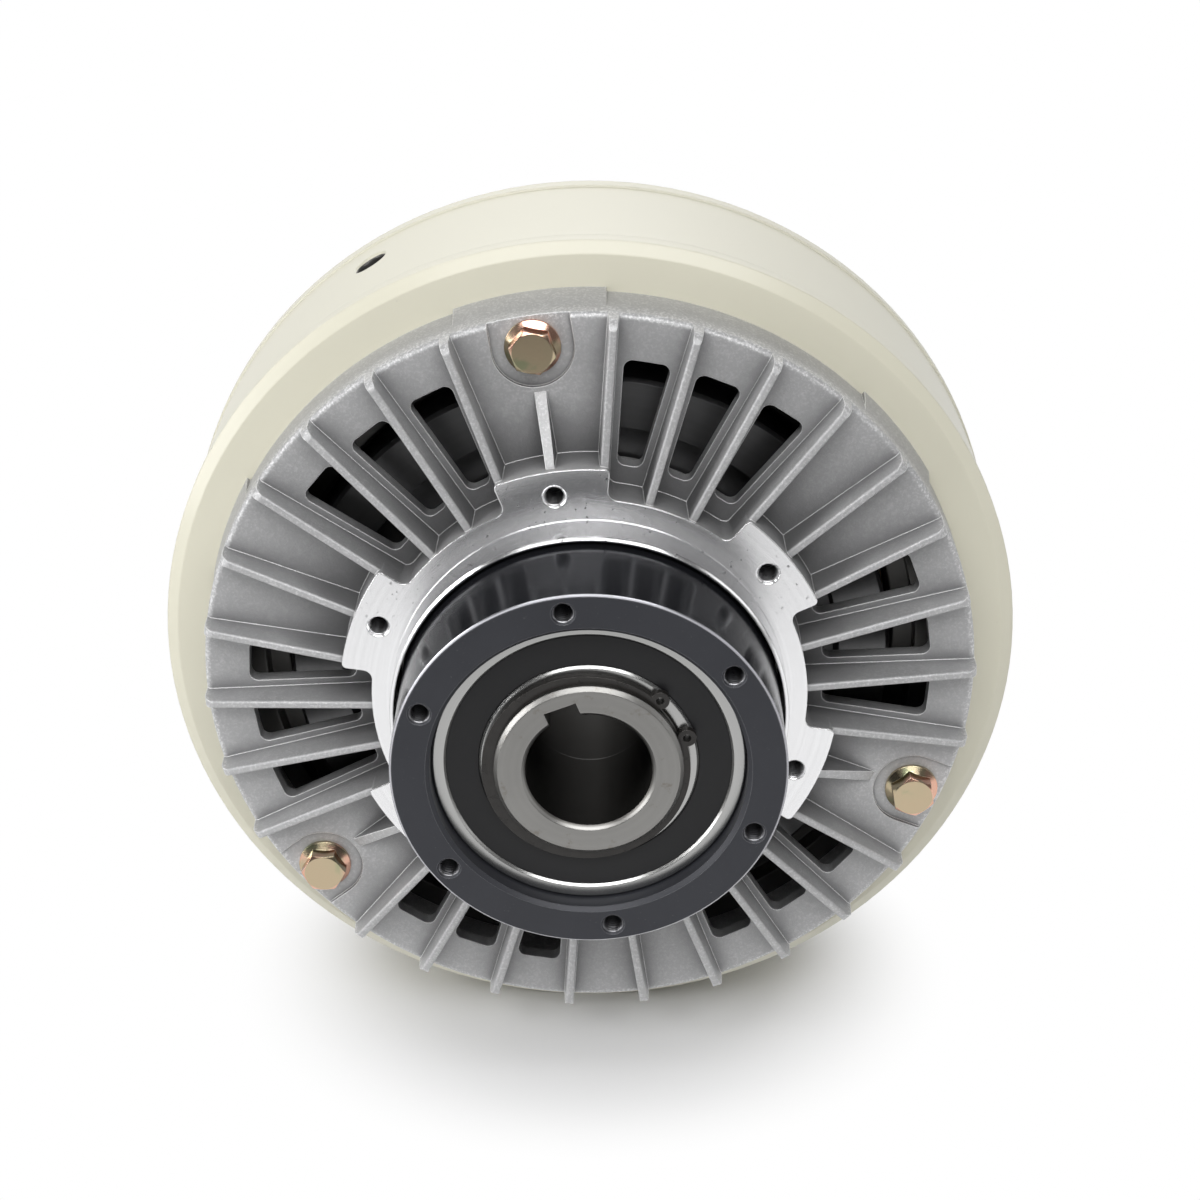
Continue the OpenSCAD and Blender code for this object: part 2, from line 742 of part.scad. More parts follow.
module rear_bracket_bolts() {
    color("gold") on_axis() mirror([0, 0, 1]) bracket_bolts();
}

// Bearings: every module draws one piece between low and low + width

// Ring whose ball groove is cut by a torus round the ball circle
module race(outer, inner, low, width, pitch_r, ball_r) {
    difference() {
        turned([
            [inner, low + edge], [inner + edge, low], [outer - edge, low], [outer, low + edge],
            [outer, low + width - edge], [outer - edge, low + width],
            [inner + edge, low + width], [inner, low + width - edge]
        ]);
        translate([0, 0, low + width / 2]) rotate_extrude()
            translate([pitch_r, 0]) circle(r = ball_r + ball_play);
    }
}

module balls(count, pitch_r, ball_r, low, width) {
    around(count, 0) translate([pitch_r, 0, low + width / 2]) sphere(r = ball_r, $fn = 32);
}

// Moulded cage: a ring through the ball circle with a pocket for each ball
module cage(count, pitch_r, ball_r, low, width) {
    half_w = 1.1 * ball_r;
    half_t = 0.4 * ball_r;
    difference() {
        ring(pitch_r + half_t, pitch_r - half_t, low + width / 2 - half_w, low + width / 2 + half_w);
        around(count, 0) translate([0, 0, low + width / 2]) rotate([0, 90, 0])
            translate([0, 0, pitch_r - 2 * half_t]) cylinder(r = ball_r + ball_play, h = 4 * half_t);
    }
}

// Pair of flat rings just inside a bearing's faces
module closures(outer, inner, low, width, thick) {
    ring(outer - fit, inner + seal_play, low + edge, low + edge + thick);
    ring(outer - fit, inner + seal_play, low + width - edge - thick, low + width - edge);
}

module drum_outer_race() {
    race(drum_brg_r, drum_rib_out, drum_brg_z, drum_brg_w, drum_pitch_r, drum_ball_r);
}

module drum_inner_race() {
    race(drum_rib_in, drum_seat_r + fit, drum_brg_z, drum_brg_w, drum_pitch_r, drum_ball_r);
}

module drum_shields() {
    closures(drum_rib_out, drum_rib_in, drum_brg_z, drum_brg_w, shield_t);
}

module drum_balls() {
    balls(drum_brg_balls, drum_pitch_r, drum_ball_r, drum_brg_z, drum_brg_w);
}

module drum_cage() {
    cage(drum_brg_balls, drum_pitch_r, drum_ball_r, drum_brg_z, drum_brg_w);
}

// Bore circlip behind the outer ring of a drum bearing
module drum_clip() {
    translate([0, 0, drum_brg_z - clip_t]) linear_extrude(clip_t) difference() {
        circle(r = drum_brg_r + clip_groove - fit);
        circle(r = drum_brg_r + clip_groove - drum_clip_w);
        polygon([[0, 0], [far, -far * 0.06], [far, far * 0.06]]);
    }
}

module front_drum_bearing_outer() {
    color("gainsboro") on_axis() drum_outer_race();
}

module rear_drum_bearing_outer() {
    color("gainsboro") on_axis() mirror([0, 0, 1]) drum_outer_race();
}

module front_drum_bearing_inner() {
    color("gainsboro") on_axis() drum_inner_race();
}

module rear_drum_bearing_inner() {
    color("gainsboro") on_axis() mirror([0, 0, 1]) drum_inner_race();
}

module front_drum_bearing_shields() {
    color("dimgray") on_axis() drum_shields();
}

module rear_drum_bearing_shields() {
    color("dimgray") on_axis() mirror([0, 0, 1]) drum_shields();
}

module front_drum_bearing_balls() {
    color("white") on_axis() drum_balls();
}

module rear_drum_bearing_balls() {
    color("white") on_axis() mirror([0, 0, 1]) drum_balls();
}

module front_drum_bearing_cage() {
    color("darkgoldenrod") on_axis() drum_cage();
}

module rear_drum_bearing_cage() {
    color("darkgoldenrod") on_axis() mirror([0, 0, 1]) drum_cage();
}

module front_drum_bearing_clip() {
    color("dimgray") on_axis() drum_clip();
}

module rear_drum_bearing_clip() {
    color("dimgray") on_axis() mirror([0, 0, 1]) drum_clip();
}

module front_shaft_bearing_outer() {
    color("silver") on_axis()
        race(nose_brg_r, nose_rib_out, nose_shoulder_z, nose_brg_w, nose_pitch_r, nose_ball_r);
}

module front_shaft_bearing_inner() {
    color("silver") on_axis()
        race(nose_rib_in, journal_r + fit, nose_shoulder_z, nose_brg_w, nose_pitch_r, nose_ball_r);
}

module front_shaft_bearing_seals() {
    color("black") on_axis() closures(nose_rib_out, nose_rib_in, nose_shoulder_z, nose_brg_w, seal_t);
}

module front_shaft_bearing_balls() {
    color("white") on_axis()
        balls(nose_brg_balls, nose_pitch_r, nose_ball_r, nose_shoulder_z, nose_brg_w);
}

module front_shaft_bearing_cage() {
    color("darkgoldenrod") on_axis()
        cage(nose_brg_balls, nose_pitch_r, nose_ball_r, nose_shoulder_z, nose_brg_w);
}

module rear_shaft_bearing_outer() {
    color("silver") on_axis()
        race(tail_brg_r, tail_rib_out, tail_brg_z, tail_brg_w, tail_pitch_r, tail_ball_r);
}

module rear_shaft_bearing_inner() {
    color("silver") on_axis()
        race(tail_rib_in, journal_r + fit, tail_brg_z, tail_brg_w, tail_pitch_r, tail_ball_r);
}

module rear_shaft_bearing_seals() {
    color("black") on_axis() closures(tail_rib_out, tail_rib_in, tail_brg_z, tail_brg_w, shield_t);
}

module rear_shaft_bearing_balls() {
    color("white") on_axis()
        balls(tail_brg_balls, tail_pitch_r, tail_ball_r, tail_brg_z, tail_brg_w);
}

module rear_shaft_bearing_cage() {
    color("darkgoldenrod") on_axis()
        cage(tail_brg_balls, tail_pitch_r, tail_ball_r, tail_brg_z, tail_brg_w);
}

// Drive member: input flange, side plates and drum

// Blackened flange: front bearing bore, seat for the drum bearing and a tapped tail
module input_flange() {
    stop_r = nose_brg_r - stop_h;
    stop_z = nose_shoulder_z - stop_t;
    color([0.16, 0.17, 0.19]) on_axis() difference() {
        turned([
            [nose_brg_r + fit, flange_z - 1], [nose_brg_r + 1, flange_z],
            [flange_r - edge, flange_z], [flange_r, flange_z - edge],
            [flange_r, drum_brg_end_z + 1], [drum_seat_r + stop_h, drum_brg_end_z],
            [drum_seat_r, drum_brg_end_z], [drum_seat_r, plate_z + fit],
            [tail_bore_r, plate_z + fit], [tail_bore_r, stop_z], [stop_r, stop_z],
            [stop_r, nose_shoulder_z - fit], [nose_brg_r + fit, nose_shoulder_z - fit]
        ]);
        around(tap_count, flange_angle) translate([flange_hole_r, 0, 0])
            tapped(tap_d / 2, flange_z, flange_hole_depth);
        around(tap_count, 0) translate([tail_screw_r, 0, plate_z - eps])
            cylinder(r = screw_r + fit, h = flange_grip + grip_play);
    }
}

// Low-head socket screw: its head stands on z = 0, its shank points towards -Z
module socket_screw(length) {
    translate([0, 0, -length]) cylinder(r = screw_r, h = length + eps);
    difference() {
        cylinder(r = screw_head_r, h = screw_head_h);
        translate([0, 0, screw_head_h / 2]) cylinder(d = screw_socket_d, h = screw_head_h, $fn = 6);
    }
}

// Holes in a side plate's land for the screws into the drum
module land_screw_holes() {
    around(tap_count, bolt_angle) translate([land_screw_r, 0, 0]) {
        translate([0, 0, drum_half - 1]) cylinder(r = screw_r + screw_play, h = far);
        translate([0, 0, plate_z]) cylinder(r = screw_head_r + screw_play, h = far);
    }
}

// Side plate: a disc with a thick land at its rim and a boss against the inner ring
module side_plate() {
    boss_r = drum_rib_in - 0.5;
    turned([
        [tail_bore_r, drum_half], [drum_r, drum_half], [drum_r, land_z - 1],
        [drum_r - 1, land_z], [land_in_r, land_z], [land_in_r - 1, plate_z],
        [boss_r, plate_z], [boss_r, drum_brg_z], [drum_seat_r + fit, drum_brg_z],
        [drum_seat_r + fit, plate_z], [tail_bore_r, plate_z]
    ]);
}

module front_side_plate() {
    color("lightsteelblue") on_axis() difference() {
        side_plate();
        land_screw_holes();
        around(tap_count, 0) translate([tail_screw_r, 0, drum_half - eps]) {
            cylinder(r = screw_r + screw_play, h = plate_t + 1);
            cylinder(r = screw_head_r + screw_play, h = screw_head_h + eps);
        }
    }
}

// The rear side plate has a hub tube that carries the rear bearings
module rear_side_plate() {
    stop_z = -tail_shoulder_z - fit;
    color("lightsteelblue") on_axis() mirror([0, 0, 1]) difference() {
        union() {
            side_plate();
            turned([
                [tail_bore_r, plate_z - 1], [drum_seat_r + 1, plate_z - 1],
                [drum_seat_r + 1, drum_brg_z], [drum_seat_r, drum_brg_z],
                [drum_seat_r, tube_end_z - edge], [drum_seat_r - edge, tube_end_z],
                [tail_brg_r + fit, tube_end_z], [tail_brg_r + fit, stop_z], [tail_bore_r, stop_z]
            ]);
        }
        land_screw_holes();
        ring(drum_seat_r + 1, drum_seat_r - clip_groove, drum_brg_end_z, drum_brg_end_z + clip_t + 2 * fit);
    }
}

// Steel drum with a groove for the ring that breaks the flux path
module drum() {
    hole_depth = plate_grip + grip_play;
    color("lightgray") on_axis() difference() {
        ring(drum_r, drum_in_r, -drum_half + fit, drum_half - fit);
        ring(drum_r + 1, drum_r - drum_wall / 2, -pole_gap / 2, pole_gap / 2);
        for (low = [-drum_half - eps, drum_half - hole_depth]) {
            around(tap_count, bolt_angle) translate([land_screw_r, 0, low])
                cylinder(r = screw_r + fit, h = hole_depth + eps);
        }
    }
}

// Stainless ring in the drum's groove
module drum_break_ring() {
    color("silver") on_axis()
        ring(drum_r - seal_play, drum_r - drum_wall / 2 + fit, -pole_gap / 2 + fit, pole_gap / 2 - fit);
}

// Screws from inside the front plate into the tail of the input flange
module input_flange_screws() {
    color("dimgray") on_axis() mirror([0, 0, 1]) around(tap_count, 0)
        translate([tail_screw_r, 0, -drum_half - screw_head_h])
            socket_screw(plate_t - screw_head_h + flange_grip);
}

module land_screws() {
    around(tap_count, bolt_angle) translate([land_screw_r, 0, plate_z]) socket_screw(plate_t + plate_grip);
}

module front_plate_screws() {
    color("dimgray") on_axis() land_screws();
}

module rear_plate_screws() {
    color("dimgray") on_axis() mirror([0, 0, 1]) land_screws();
}

// Felt ring in a side plate's bore that keeps the powder off the bearings
module powder_seal() {
    ring(tail_bore_r - fit, body_r + seal_play, drum_half + 0.5, drum_half + plate_t - 0.5);
}

module front_powder_seal() {
    color("khaki") on_axis() powder_seal();
}

module rear_powder_seal() {
    color("khaki") on_axis() mirror([0, 0, 1]) powder_seal();
}

// Powder as it lies in the gap while the clutch turns
module powder_charge() {
    color([0.25, 0.25, 0.27]) on_axis()
        ring(drum_in_r - fit, rotor_r + powder_play, -rotor_half + 2, rotor_half - 2);
}

// Driven member: shaft, rotor and what holds them

// Hollow shaft, its bore relieved between the fitted ends
module hollow_shaft() {
    color("silver") on_axis() difference() {
        turned([
            [bore_r + 1, nose_z], [journal_r - 1, nose_z], [journal_r, nose_z - 1],
            [journal_r, nose_shoulder_z], [body_r, nose_shoulder_z], [body_r, tail_shoulder_z],
            [journal_r, tail_shoulder_z], [journal_r, tail_z + 1],
            [journal_r - 1, tail_z], [bore_r + 1, tail_z], [bore_r, tail_z + 1],
            [bore_r, tail_z + bore_land], [bore_r + bore_relief, tail_z + bore_land + 1],
            [bore_r + bore_relief, nose_z - bore_land - 1], [bore_r, nose_z - bore_land],
            [bore_r, nose_z - 1]
        ]);
        rotate([0, 0, keyway_angle]) translate([0, -keyway_w / 2, -far / 2])
            cube([bore_r + keyway_t, keyway_w, far]);
        rotate([0, 0, keyway_angle + 180])
            translate([body_r - rotor_key_t, -rotor_key_w / 2 - fit, -key_half])
                cube([2 * rotor_key_t, rotor_key_w + 2 * fit, 2 * key_half]);
        clip_cut(journal_r, nose_brg_z);
        clip_cut(journal_r, tail_brg_z - clip_t - 2 * fit);
        clip_cut(body_r, rotor_hub_half);
        clip_cut(body_r, -rotor_hub_half - clip_t - 2 * fit);
    }
}

// Groove for a circlip, from the given height up
module clip_cut(shaft_r, low) {
    ring(shaft_r + 1, shaft_r - clip_groove, low, low + clip_t + 2 * fit);
}

// Steel rotor: a rim at the powder gap, a web with lightening holes and a keyed hub
module inner_rotor() {
    rim_r = rotor_rim_r;
    half_web = rotor_web / 2;
    color("darkgray") on_axis() difference() {
        turned([
            [body_r + fit, -rotor_hub_half], [rotor_hub_r, -rotor_hub_half],
            [rotor_hub_r + 1, -half_web], [rim_r - 1, -half_web], [rim_r, -rotor_half],
            [rotor_r - 1, -rotor_half], [rotor_r, 1 - rotor_half], [rotor_r, rotor_half - 1],
            [rotor_r - 1, rotor_half], [rim_r, rotor_half], [rim_r - 1, half_web],
            [rotor_hub_r + 1, half_web], [rotor_hub_r, rotor_hub_half], [body_r + fit, rotor_hub_half]
        ]);
        around(tap_count, 0) translate([(rotor_hub_r + rim_r) / 2, 0, -rotor_web])
            cylinder(d = rim_r - rotor_hub_r - 2 * rotor_hole_edge, h = 2 * rotor_web);
        rotate([0, 0, keyway_angle + 180]) translate([0, -rotor_key_w / 2 - fit, -far / 2])
            cube([body_r - rotor_key_t + rotor_key_h + screw_play, rotor_key_w + 2 * fit, far]);
    }
}

module rotor_key() {
    color("gray") on_axis() rotate([0, 0, keyway_angle + 180])
        translate([body_r - rotor_key_t + fit, -rotor_key_w / 2, -key_half + fit])
            cube([rotor_key_h, rotor_key_w, 2 * (key_half - fit)]);
}

// Shaft circlip on z = 0: narrow at its two eyes, its gap along +X
module shaft_clip(shaft_r) {
    groove_r = shaft_r - clip_groove + fit;
    eye_x = shaft_r + eye_r - screw_play;
    half_gap = clip_eyes / 2;
    linear_extrude(clip_t) difference() {
        union() {
            difference() {
                translate([-clip_ecc, 0]) circle(r = groove_r + clip_w - clip_ecc);
                polygon([
                    [0, 0], [far * cos(half_gap), -far * sin(half_gap)],
                    [far * cos(half_gap), far * sin(half_gap)]
                ]);
            }
            for (side = [-1, 1]) {
                rotate(side * half_gap) translate([eye_x, 0]) circle(r = eye_r);
            }
        }
        circle(r = groove_r);
        for (side = [-1, 1]) {
            rotate(side * half_gap) translate([eye_x, 0]) circle(r = eye_hole_r);
        }
    }
}

module front_shaft_clip() {
    color([0.2, 0.2, 0.21]) on_axis() translate([0, 0, nose_brg_z + fit])
        rotate([0, 0, clip_angle]) shaft_clip(journal_r);
}

module rear_shaft_clip() {
    color([0.2, 0.2, 0.21]) on_axis() translate([0, 0, tail_brg_z - clip_t - fit])
        rotate([0, 0, clip_angle + 90]) shaft_clip(journal_r);
}

// Pair of circlips that hold the rotor on the shaft
module rotor_clips() {
    color([0.2, 0.2, 0.21]) on_axis() for (low = [rotor_hub_half + fit, -rotor_hub_half - clip_t - fit]) {
        translate([0, 0, low]) rotate([0, 0, keyway_angle]) shaft_clip(body_r);
    }
}

// Circlip that holds the rear drum bearing on the hub tube
module rear_hub_clip() {
    color([0.2, 0.2, 0.21]) on_axis() mirror([0, 0, 1]) translate([0, 0, drum_brg_end_z + fit])
        linear_extrude(clip_t) difference() {
            circle(r = drum_seat_r - clip_groove + drum_clip_w);
            circle(r = drum_seat_r - clip_groove + fit);
            polygon([[0, 0], [far, -far * 0.08], [far, far * 0.08]]);
        }
}

field_core();
field_cover();
field_coil();
pole_spacer();
front_bracket();
rear_bracket();
front_bracket_bolts();
rear_bracket_bolts();
front_drum_bearing_outer();
rear_drum_bearing_outer();
front_drum_bearing_clip();
rear_drum_bearing_clip();
front_drum_bearing_shields();
rear_drum_bearing_shields();
front_drum_bearing_balls();
rear_drum_bearing_balls();
front_drum_bearing_cage();
rear_drum_bearing_cage();
input_flange();
front_side_plate();
rear_side_plate();
drum();
drum_break_ring();
input_flange_screws();
front_plate_screws();
rear_plate_screws();
front_drum_bearing_inner();
rear_drum_bearing_inner();
rear_hub_clip();
front_shaft_bearing_outer();
rear_shaft_bearing_outer();
front_shaft_bearing_seals();
rear_shaft_bearing_seals();
front_powder_seal();
rear_powder_seal();
powder_charge();
front_shaft_bearing_balls();
rear_shaft_bearing_balls();
front_shaft_bearing_cage();
rear_shaft_bearing_cage();
hollow_shaft();
inner_rotor();
rotor_key();
rotor_clips();
front_shaft_clip();
rear_shaft_clip();
front_shaft_bearing_inner();
rear_shaft_bearing_inner();
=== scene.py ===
"""Looks of a hollow-shaft magnetic powder clutch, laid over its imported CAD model.

The clutch stands on the rim of its ivory field core, its shaft axis along Y, the black
input flange towards the camera at -Y. Lengths are in metres, in the CAD model's frame.
"""
from functools import cached_property
from math import atan2, cos, hypot, pi, radians, sin

import bpy
import numpy as np
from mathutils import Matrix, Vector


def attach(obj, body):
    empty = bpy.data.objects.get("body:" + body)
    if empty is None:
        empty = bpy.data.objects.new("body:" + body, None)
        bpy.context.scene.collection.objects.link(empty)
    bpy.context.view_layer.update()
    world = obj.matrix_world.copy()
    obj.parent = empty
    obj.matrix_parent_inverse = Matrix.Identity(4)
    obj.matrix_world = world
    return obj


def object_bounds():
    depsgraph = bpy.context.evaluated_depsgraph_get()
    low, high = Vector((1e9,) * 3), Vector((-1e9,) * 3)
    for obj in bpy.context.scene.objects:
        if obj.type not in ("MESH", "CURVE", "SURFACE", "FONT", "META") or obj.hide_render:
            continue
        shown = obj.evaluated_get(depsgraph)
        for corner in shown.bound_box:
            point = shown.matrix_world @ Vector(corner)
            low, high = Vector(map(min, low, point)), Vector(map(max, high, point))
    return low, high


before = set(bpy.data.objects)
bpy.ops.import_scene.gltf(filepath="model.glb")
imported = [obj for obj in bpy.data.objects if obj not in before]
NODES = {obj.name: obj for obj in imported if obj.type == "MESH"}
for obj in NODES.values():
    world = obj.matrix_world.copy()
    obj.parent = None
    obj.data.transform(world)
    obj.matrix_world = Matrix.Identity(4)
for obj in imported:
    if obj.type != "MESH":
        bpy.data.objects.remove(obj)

bl_info = {
    "name": "Magnetic powder clutch finish",
    "version": (1, 0, 0),
    "blender": (4, 5, 0),
    "location": "3D View > Sidebar > Clutch",
    "description": "Finishes and fine surfaces for a hollow-shaft magnetic powder clutch",
    "category": "Object",
}

MM = 0.001
CAD_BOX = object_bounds()

# Places on the clutch that its finishes go by
FLANGE_FACE_Y = CAD_BOX[0][1]
FLANGE_RADIUS = 47.0 * MM
REAR_HUB_FACE_Y = 102.0 * MM
HUB_RADIUS = 63.0 * MM
BORE_RADIUS = 15.0 * MM
BORE_FRONT_Y = -35.4 * MM
BORE_BACK_Y = 101.0 * MM
CORE_MOUTH_RADIUS = 92.0 * MM
OUTLET_RADIUS = 4.25 * MM
OUTLET_ANGLE = radians(121)
OUTLET_Y = 61.0 * MM

# First tapped hole of each circle, as an angle about the shaft axis in degrees
FLANGE_HOLE_ANGLE = 97.8
HUB_HOLE_ANGLE = 98.6


# Shader maths

class Value:
    """A value socket; arithmetic on it adds Math nodes."""

    def __init__(self, sheet, socket):
        self.sheet = sheet
        self.socket = socket

    def other(self, name):
        """Another output of the same node."""
        return Value(self.sheet, self.socket.node.outputs[name])

    def math(self, operation, other=0.0):
        return self.sheet.add("ShaderNodeMath", {"operation": operation}, {0: self, 1: other})

    def __add__(self, other):
        return self.math("ADD", other)

    def __sub__(self, other):
        return self.math("SUBTRACT", other)

    def __mul__(self, other):
        return self.math("MULTIPLY", other)

    def __rsub__(self, other):
        return self.sheet.add("ShaderNodeMath", {"operation": "SUBTRACT"}, {0: other, 1: self})

    __radd__ = __add__
    __rmul__ = __mul__

    def ramp(self, low, high):
        """0 at low, 1 at high and beyond, smooth between; low may be the greater."""
        return self.sheet.add(
            "ShaderNodeMapRange", {"interpolation_type": "SMOOTHSTEP", "clamp": True},
            {"Value": self, "From Min": low, "From Max": high, "To Min": 0.0, "To Max": 1.0})


class Place:
    """Object coordinates of a material. Each part adds its nodes when it is first read."""

    def __init__(self, sheet):
        self.sheet = sheet

    @cached_property
    def vector(self):
        return self.sheet.add("ShaderNodeTexCoord", {}, {}, out="Object")

    @cached_property
    def x(self):
        return self.sheet.add("ShaderNodeSeparateXYZ", {}, {"Vector": self.vector})

    @cached_property
    def y(self):
        return self.x.other("Y")

    @cached_property
    def z(self):
        return self.x.other("Z")

    @cached_property
    def radius(self):
        """Distance from the shaft axis."""
        return (self.x * self.x + self.z * self.z).math("SQRT")


class Sheet:
    """The nodes of one material, or of the world."""

    def __init__(self, owner):
        owner.use_nodes = True
        self.owner = owner
        self.tree = owner.node_tree
        self.tree.nodes.clear()
        self.at = Place(self)

    def add(self, kind, settings, sockets, out=0):
        """Adds a node: its settings first, then values or links into its sockets. Gives the value
        of the output named or numbered by out."""
        node = self.tree.nodes.new(kind)
        for key, setting in settings.items():
            setattr(node, key, setting)
        for key, value in sockets.items():
            socket = node.inputs[key]
            if isinstance(value, Value):
                self.tree.links.new(value.socket, socket)
            elif socket.type == "RGBA":
                socket.default_value = (*value, 1.0)
            else:
                socket.default_value = value
        return Value(self, node.outputs[out]) if len(node.outputs) else None

    def mix(self, factor, a, b):
        """Colour a where factor is 0, b where it is 1."""
        return self.add("ShaderNodeMix", {"data_type": "RGBA"}, {0: factor, 6: a, 7: b}, out=2)

    def finish(self, sockets):
        """Ends a material with its Principled shader and returns the material."""
        shader = self.add("ShaderNodeBsdfPrincipled", {}, sockets)
        self.add("ShaderNodeOutputMaterial", {}, {"Surface": shader})
        return self.owner

    def noise(self, per_metre, detail=3.0, rough=0.55, warp=0.0):
        """Noise in the round, with so many waves in a metre."""
        return self.add("ShaderNodeTexNoise", {}, {
            "Vector": self.at.vector, "Scale": per_metre, "Detail": detail, "Roughness": rough,
            "Distortion": warp})

    def line_noise(self, distance, per_metre, detail=2.0):
        """Noise along one distance, for rings and turning marks."""
        return self.add("ShaderNodeTexNoise", {"noise_dimensions": "1D"}, {
            "W": distance, "Scale": per_metre, "Detail": detail})

    def surface(self):
        """Normal of the surface as it is modelled."""
        return self.add("ShaderNodeNewGeometry", {}, {}, out="Normal")

    def rounded(self, radius):
        """Normal with every edge rounded over the radius."""
        return self.add("ShaderNodeBevel", {"samples": 6}, {"Radius": radius})

    def edge_mask(self, rounded):
        """1 where the rounded normal leaves the modelled one, which is on edges."""
        dot = self.add("ShaderNodeVectorMath", {"operation": "DOT_PRODUCT"},
                       {0: rounded, 1: self.surface()}, out="Value")
        return (1.0 - dot).ramp(0.02, 0.25)

    def eye_and_mirror(self):
        """1 for rays from the camera, and 1 for rays that metal or glass sends on."""
        eye = self.add("ShaderNodeLightPath", {}, {}, out="Is Camera Ray")
        sent_on = eye.other("Is Glossy Ray") + eye.other("Is Transmission Ray")
        return eye, sent_on.math("MINIMUM", 1.0)

    def bump(self, height, distance, strength, normal):
        """Normal bent by a height from 0 to 1 that stands for the distance."""
        return self.add("ShaderNodeBump", {}, {
            "Height": height, "Distance": distance, "Strength": strength, "Normal": normal})


def new_finish(name):
    return Sheet(bpy.data.materials.new(name))


# Finishes

def ivory_enamel(colours):
    """Enamel outside; the land under the bracket, the mouth, the chamber and the bore of the lead
    outlet are bare and dark."""
    f = new_finish("ivory_enamel")
    at = f.at
    normal = f.rounded(0.8 * MM)
    along = at.x * cos(OUTLET_ANGLE) + at.z * sin(OUTLET_ANGLE)
    across = at.x * sin(OUTLET_ANGLE) - at.z * cos(OUTLET_ANGLE)
    behind = at.y - OUTLET_Y
    from_outlet = (across * across + behind * behind).math("SQRT")
    outlet = from_outlet.ramp(OUTLET_RADIUS + 0.30 * MM, OUTLET_RADIUS + 0.15 * MM) * along.ramp(0.0, 0.02)
    mouth = at.radius.ramp(CORE_MOUTH_RADIUS + 0.5 * MM, CORE_MOUTH_RADIUS - 0.5 * MM)
    bare = mouth.math("MAXIMUM", outlet)
    cloud = f.noise(14.0, 2.0)
    peel = f.noise(700.0, 2.0)
    dust = f.noise(420.0, 4.0, 0.7).ramp(0.71, 0.78)
    enamel = f.mix(cloud, colours.enamel_dark, colours.enamel)
    # Painted highlight and wear: enamel lighter over its edges
    enamel = f.mix(f.edge_mask(normal) * 0.5, enamel, colours.enamel_highlight_and_wear)
    enamel = f.mix(dust * 0.25, enamel, colours.enamel_dust)
    iron = f.mix(cloud, colours.bare_dark, colours.bare)
    return f.finish({
        "Base Color": f.mix(bare, enamel, iron), "Metallic": 0.8 * bare,
        "Roughness": 0.36 + 0.10 * cloud, "Coat Weight": 0.2 * (1.0 - bare), "Coat Roughness": 0.2,
        "Normal": f.bump(peel, 0.02 * MM, 0.5, normal)})


def cast_aluminium(colours):
    """Shot-blasted casting, darker in its corners as painted shade and lighter on its edges,
    shoulder and open grains as painted highlights; its hub faces and pilot are turned bright."""
    f = new_finish("blasted_cast_aluminium")
    at = f.at
    normal = f.rounded(0.5 * MM)
    grain = f.noise(1500.0, 3.0, 0.65)
    blast = f.noise(520.0, 4.0, 0.6)
    cloud = f.noise(35.0, 3.0)
    front_cut = at.y.ramp(0.48 * MM, 0.42 * MM)
    rear_cut = at.y.ramp(REAR_HUB_FACE_Y - 0.50 * MM, REAR_HUB_FACE_Y - 0.44 * MM)
    cut = (front_cut + rear_cut) * at.radius.ramp(HUB_RADIUS + 0.2 * MM, HUB_RADIUS)
    face = cut * at.y.ramp(-0.40 * MM, -0.10 * MM)
    turned = f.line_noise(at.radius + at.y, 5000.0, 3.0)
    sweep = f.line_noise(at.radius + at.y, 900.0, 2.0)
    pits = f.noise(800.0, 2.0, 0.4).ramp(0.66, 0.72) * at.z.ramp(10.0 * MM, 45.0 * MM)
    # Painted highlight: lighter grains on the casting's outer shoulder towards the front
    rim = at.radius.ramp(95.5 * MM, 96.5 * MM) * at.y.ramp(18.0 * MM, 13.0 * MM)
    # Painted shade: an occlusion mask darkens the casting in its corners and between its ribs
    occlusion = f.add("ShaderNodeAmbientOcclusion", {"samples": 6, "only_local": True},
                 {"Distance": 14 * MM}, out="AO")
    # Painted light: lighter grains where the casting lies open to the light
    painted_lit_grain = occlusion.ramp(0.70, 1.0) * grain.ramp(0.50, 0.62)
    skin = f.mix(cloud, colours.casting_dark, colours.casting)
    skin = f.mix(blast.ramp(0.45, 0.75) * 0.30, skin, colours.casting_light)
    skin = f.mix(rim * grain.ramp(0.45, 0.62) * 0.35, skin, colours.casting_highlight_and_wear)
    skin = f.mix(occlusion.ramp(0.95, 0.30) * 0.80, skin, colours.casting_painted_shade)
    skin = f.mix(painted_lit_grain * 0.22, skin, colours.casting_highlight_and_wear)
    # Painted highlight and wear: edges of the casting lighter
    skin = f.mix(f.edge_mask(normal), skin, colours.casting_highlight_and_wear)
    bright = f.mix(0.5 * sweep, colours.machined, colours.machined_dark)
    bright = f.mix(pits * 0.8, bright, colours.pits)
    height = (grain + 0.8 * blast) * (1.0 - cut) + turned * cut * 0.05
    return f.finish({
        "Base Color": f.mix(cut, skin, bright), "Metallic": 0.50 + 0.50 * cut - 0.10 * face,
        "Roughness": 0.50 - 0.36 * cut + 0.05 * face + 0.08 * blast + 0.10 * pits,
        "Normal": f.bump(height, 0.10 * MM, 0.8, normal)})


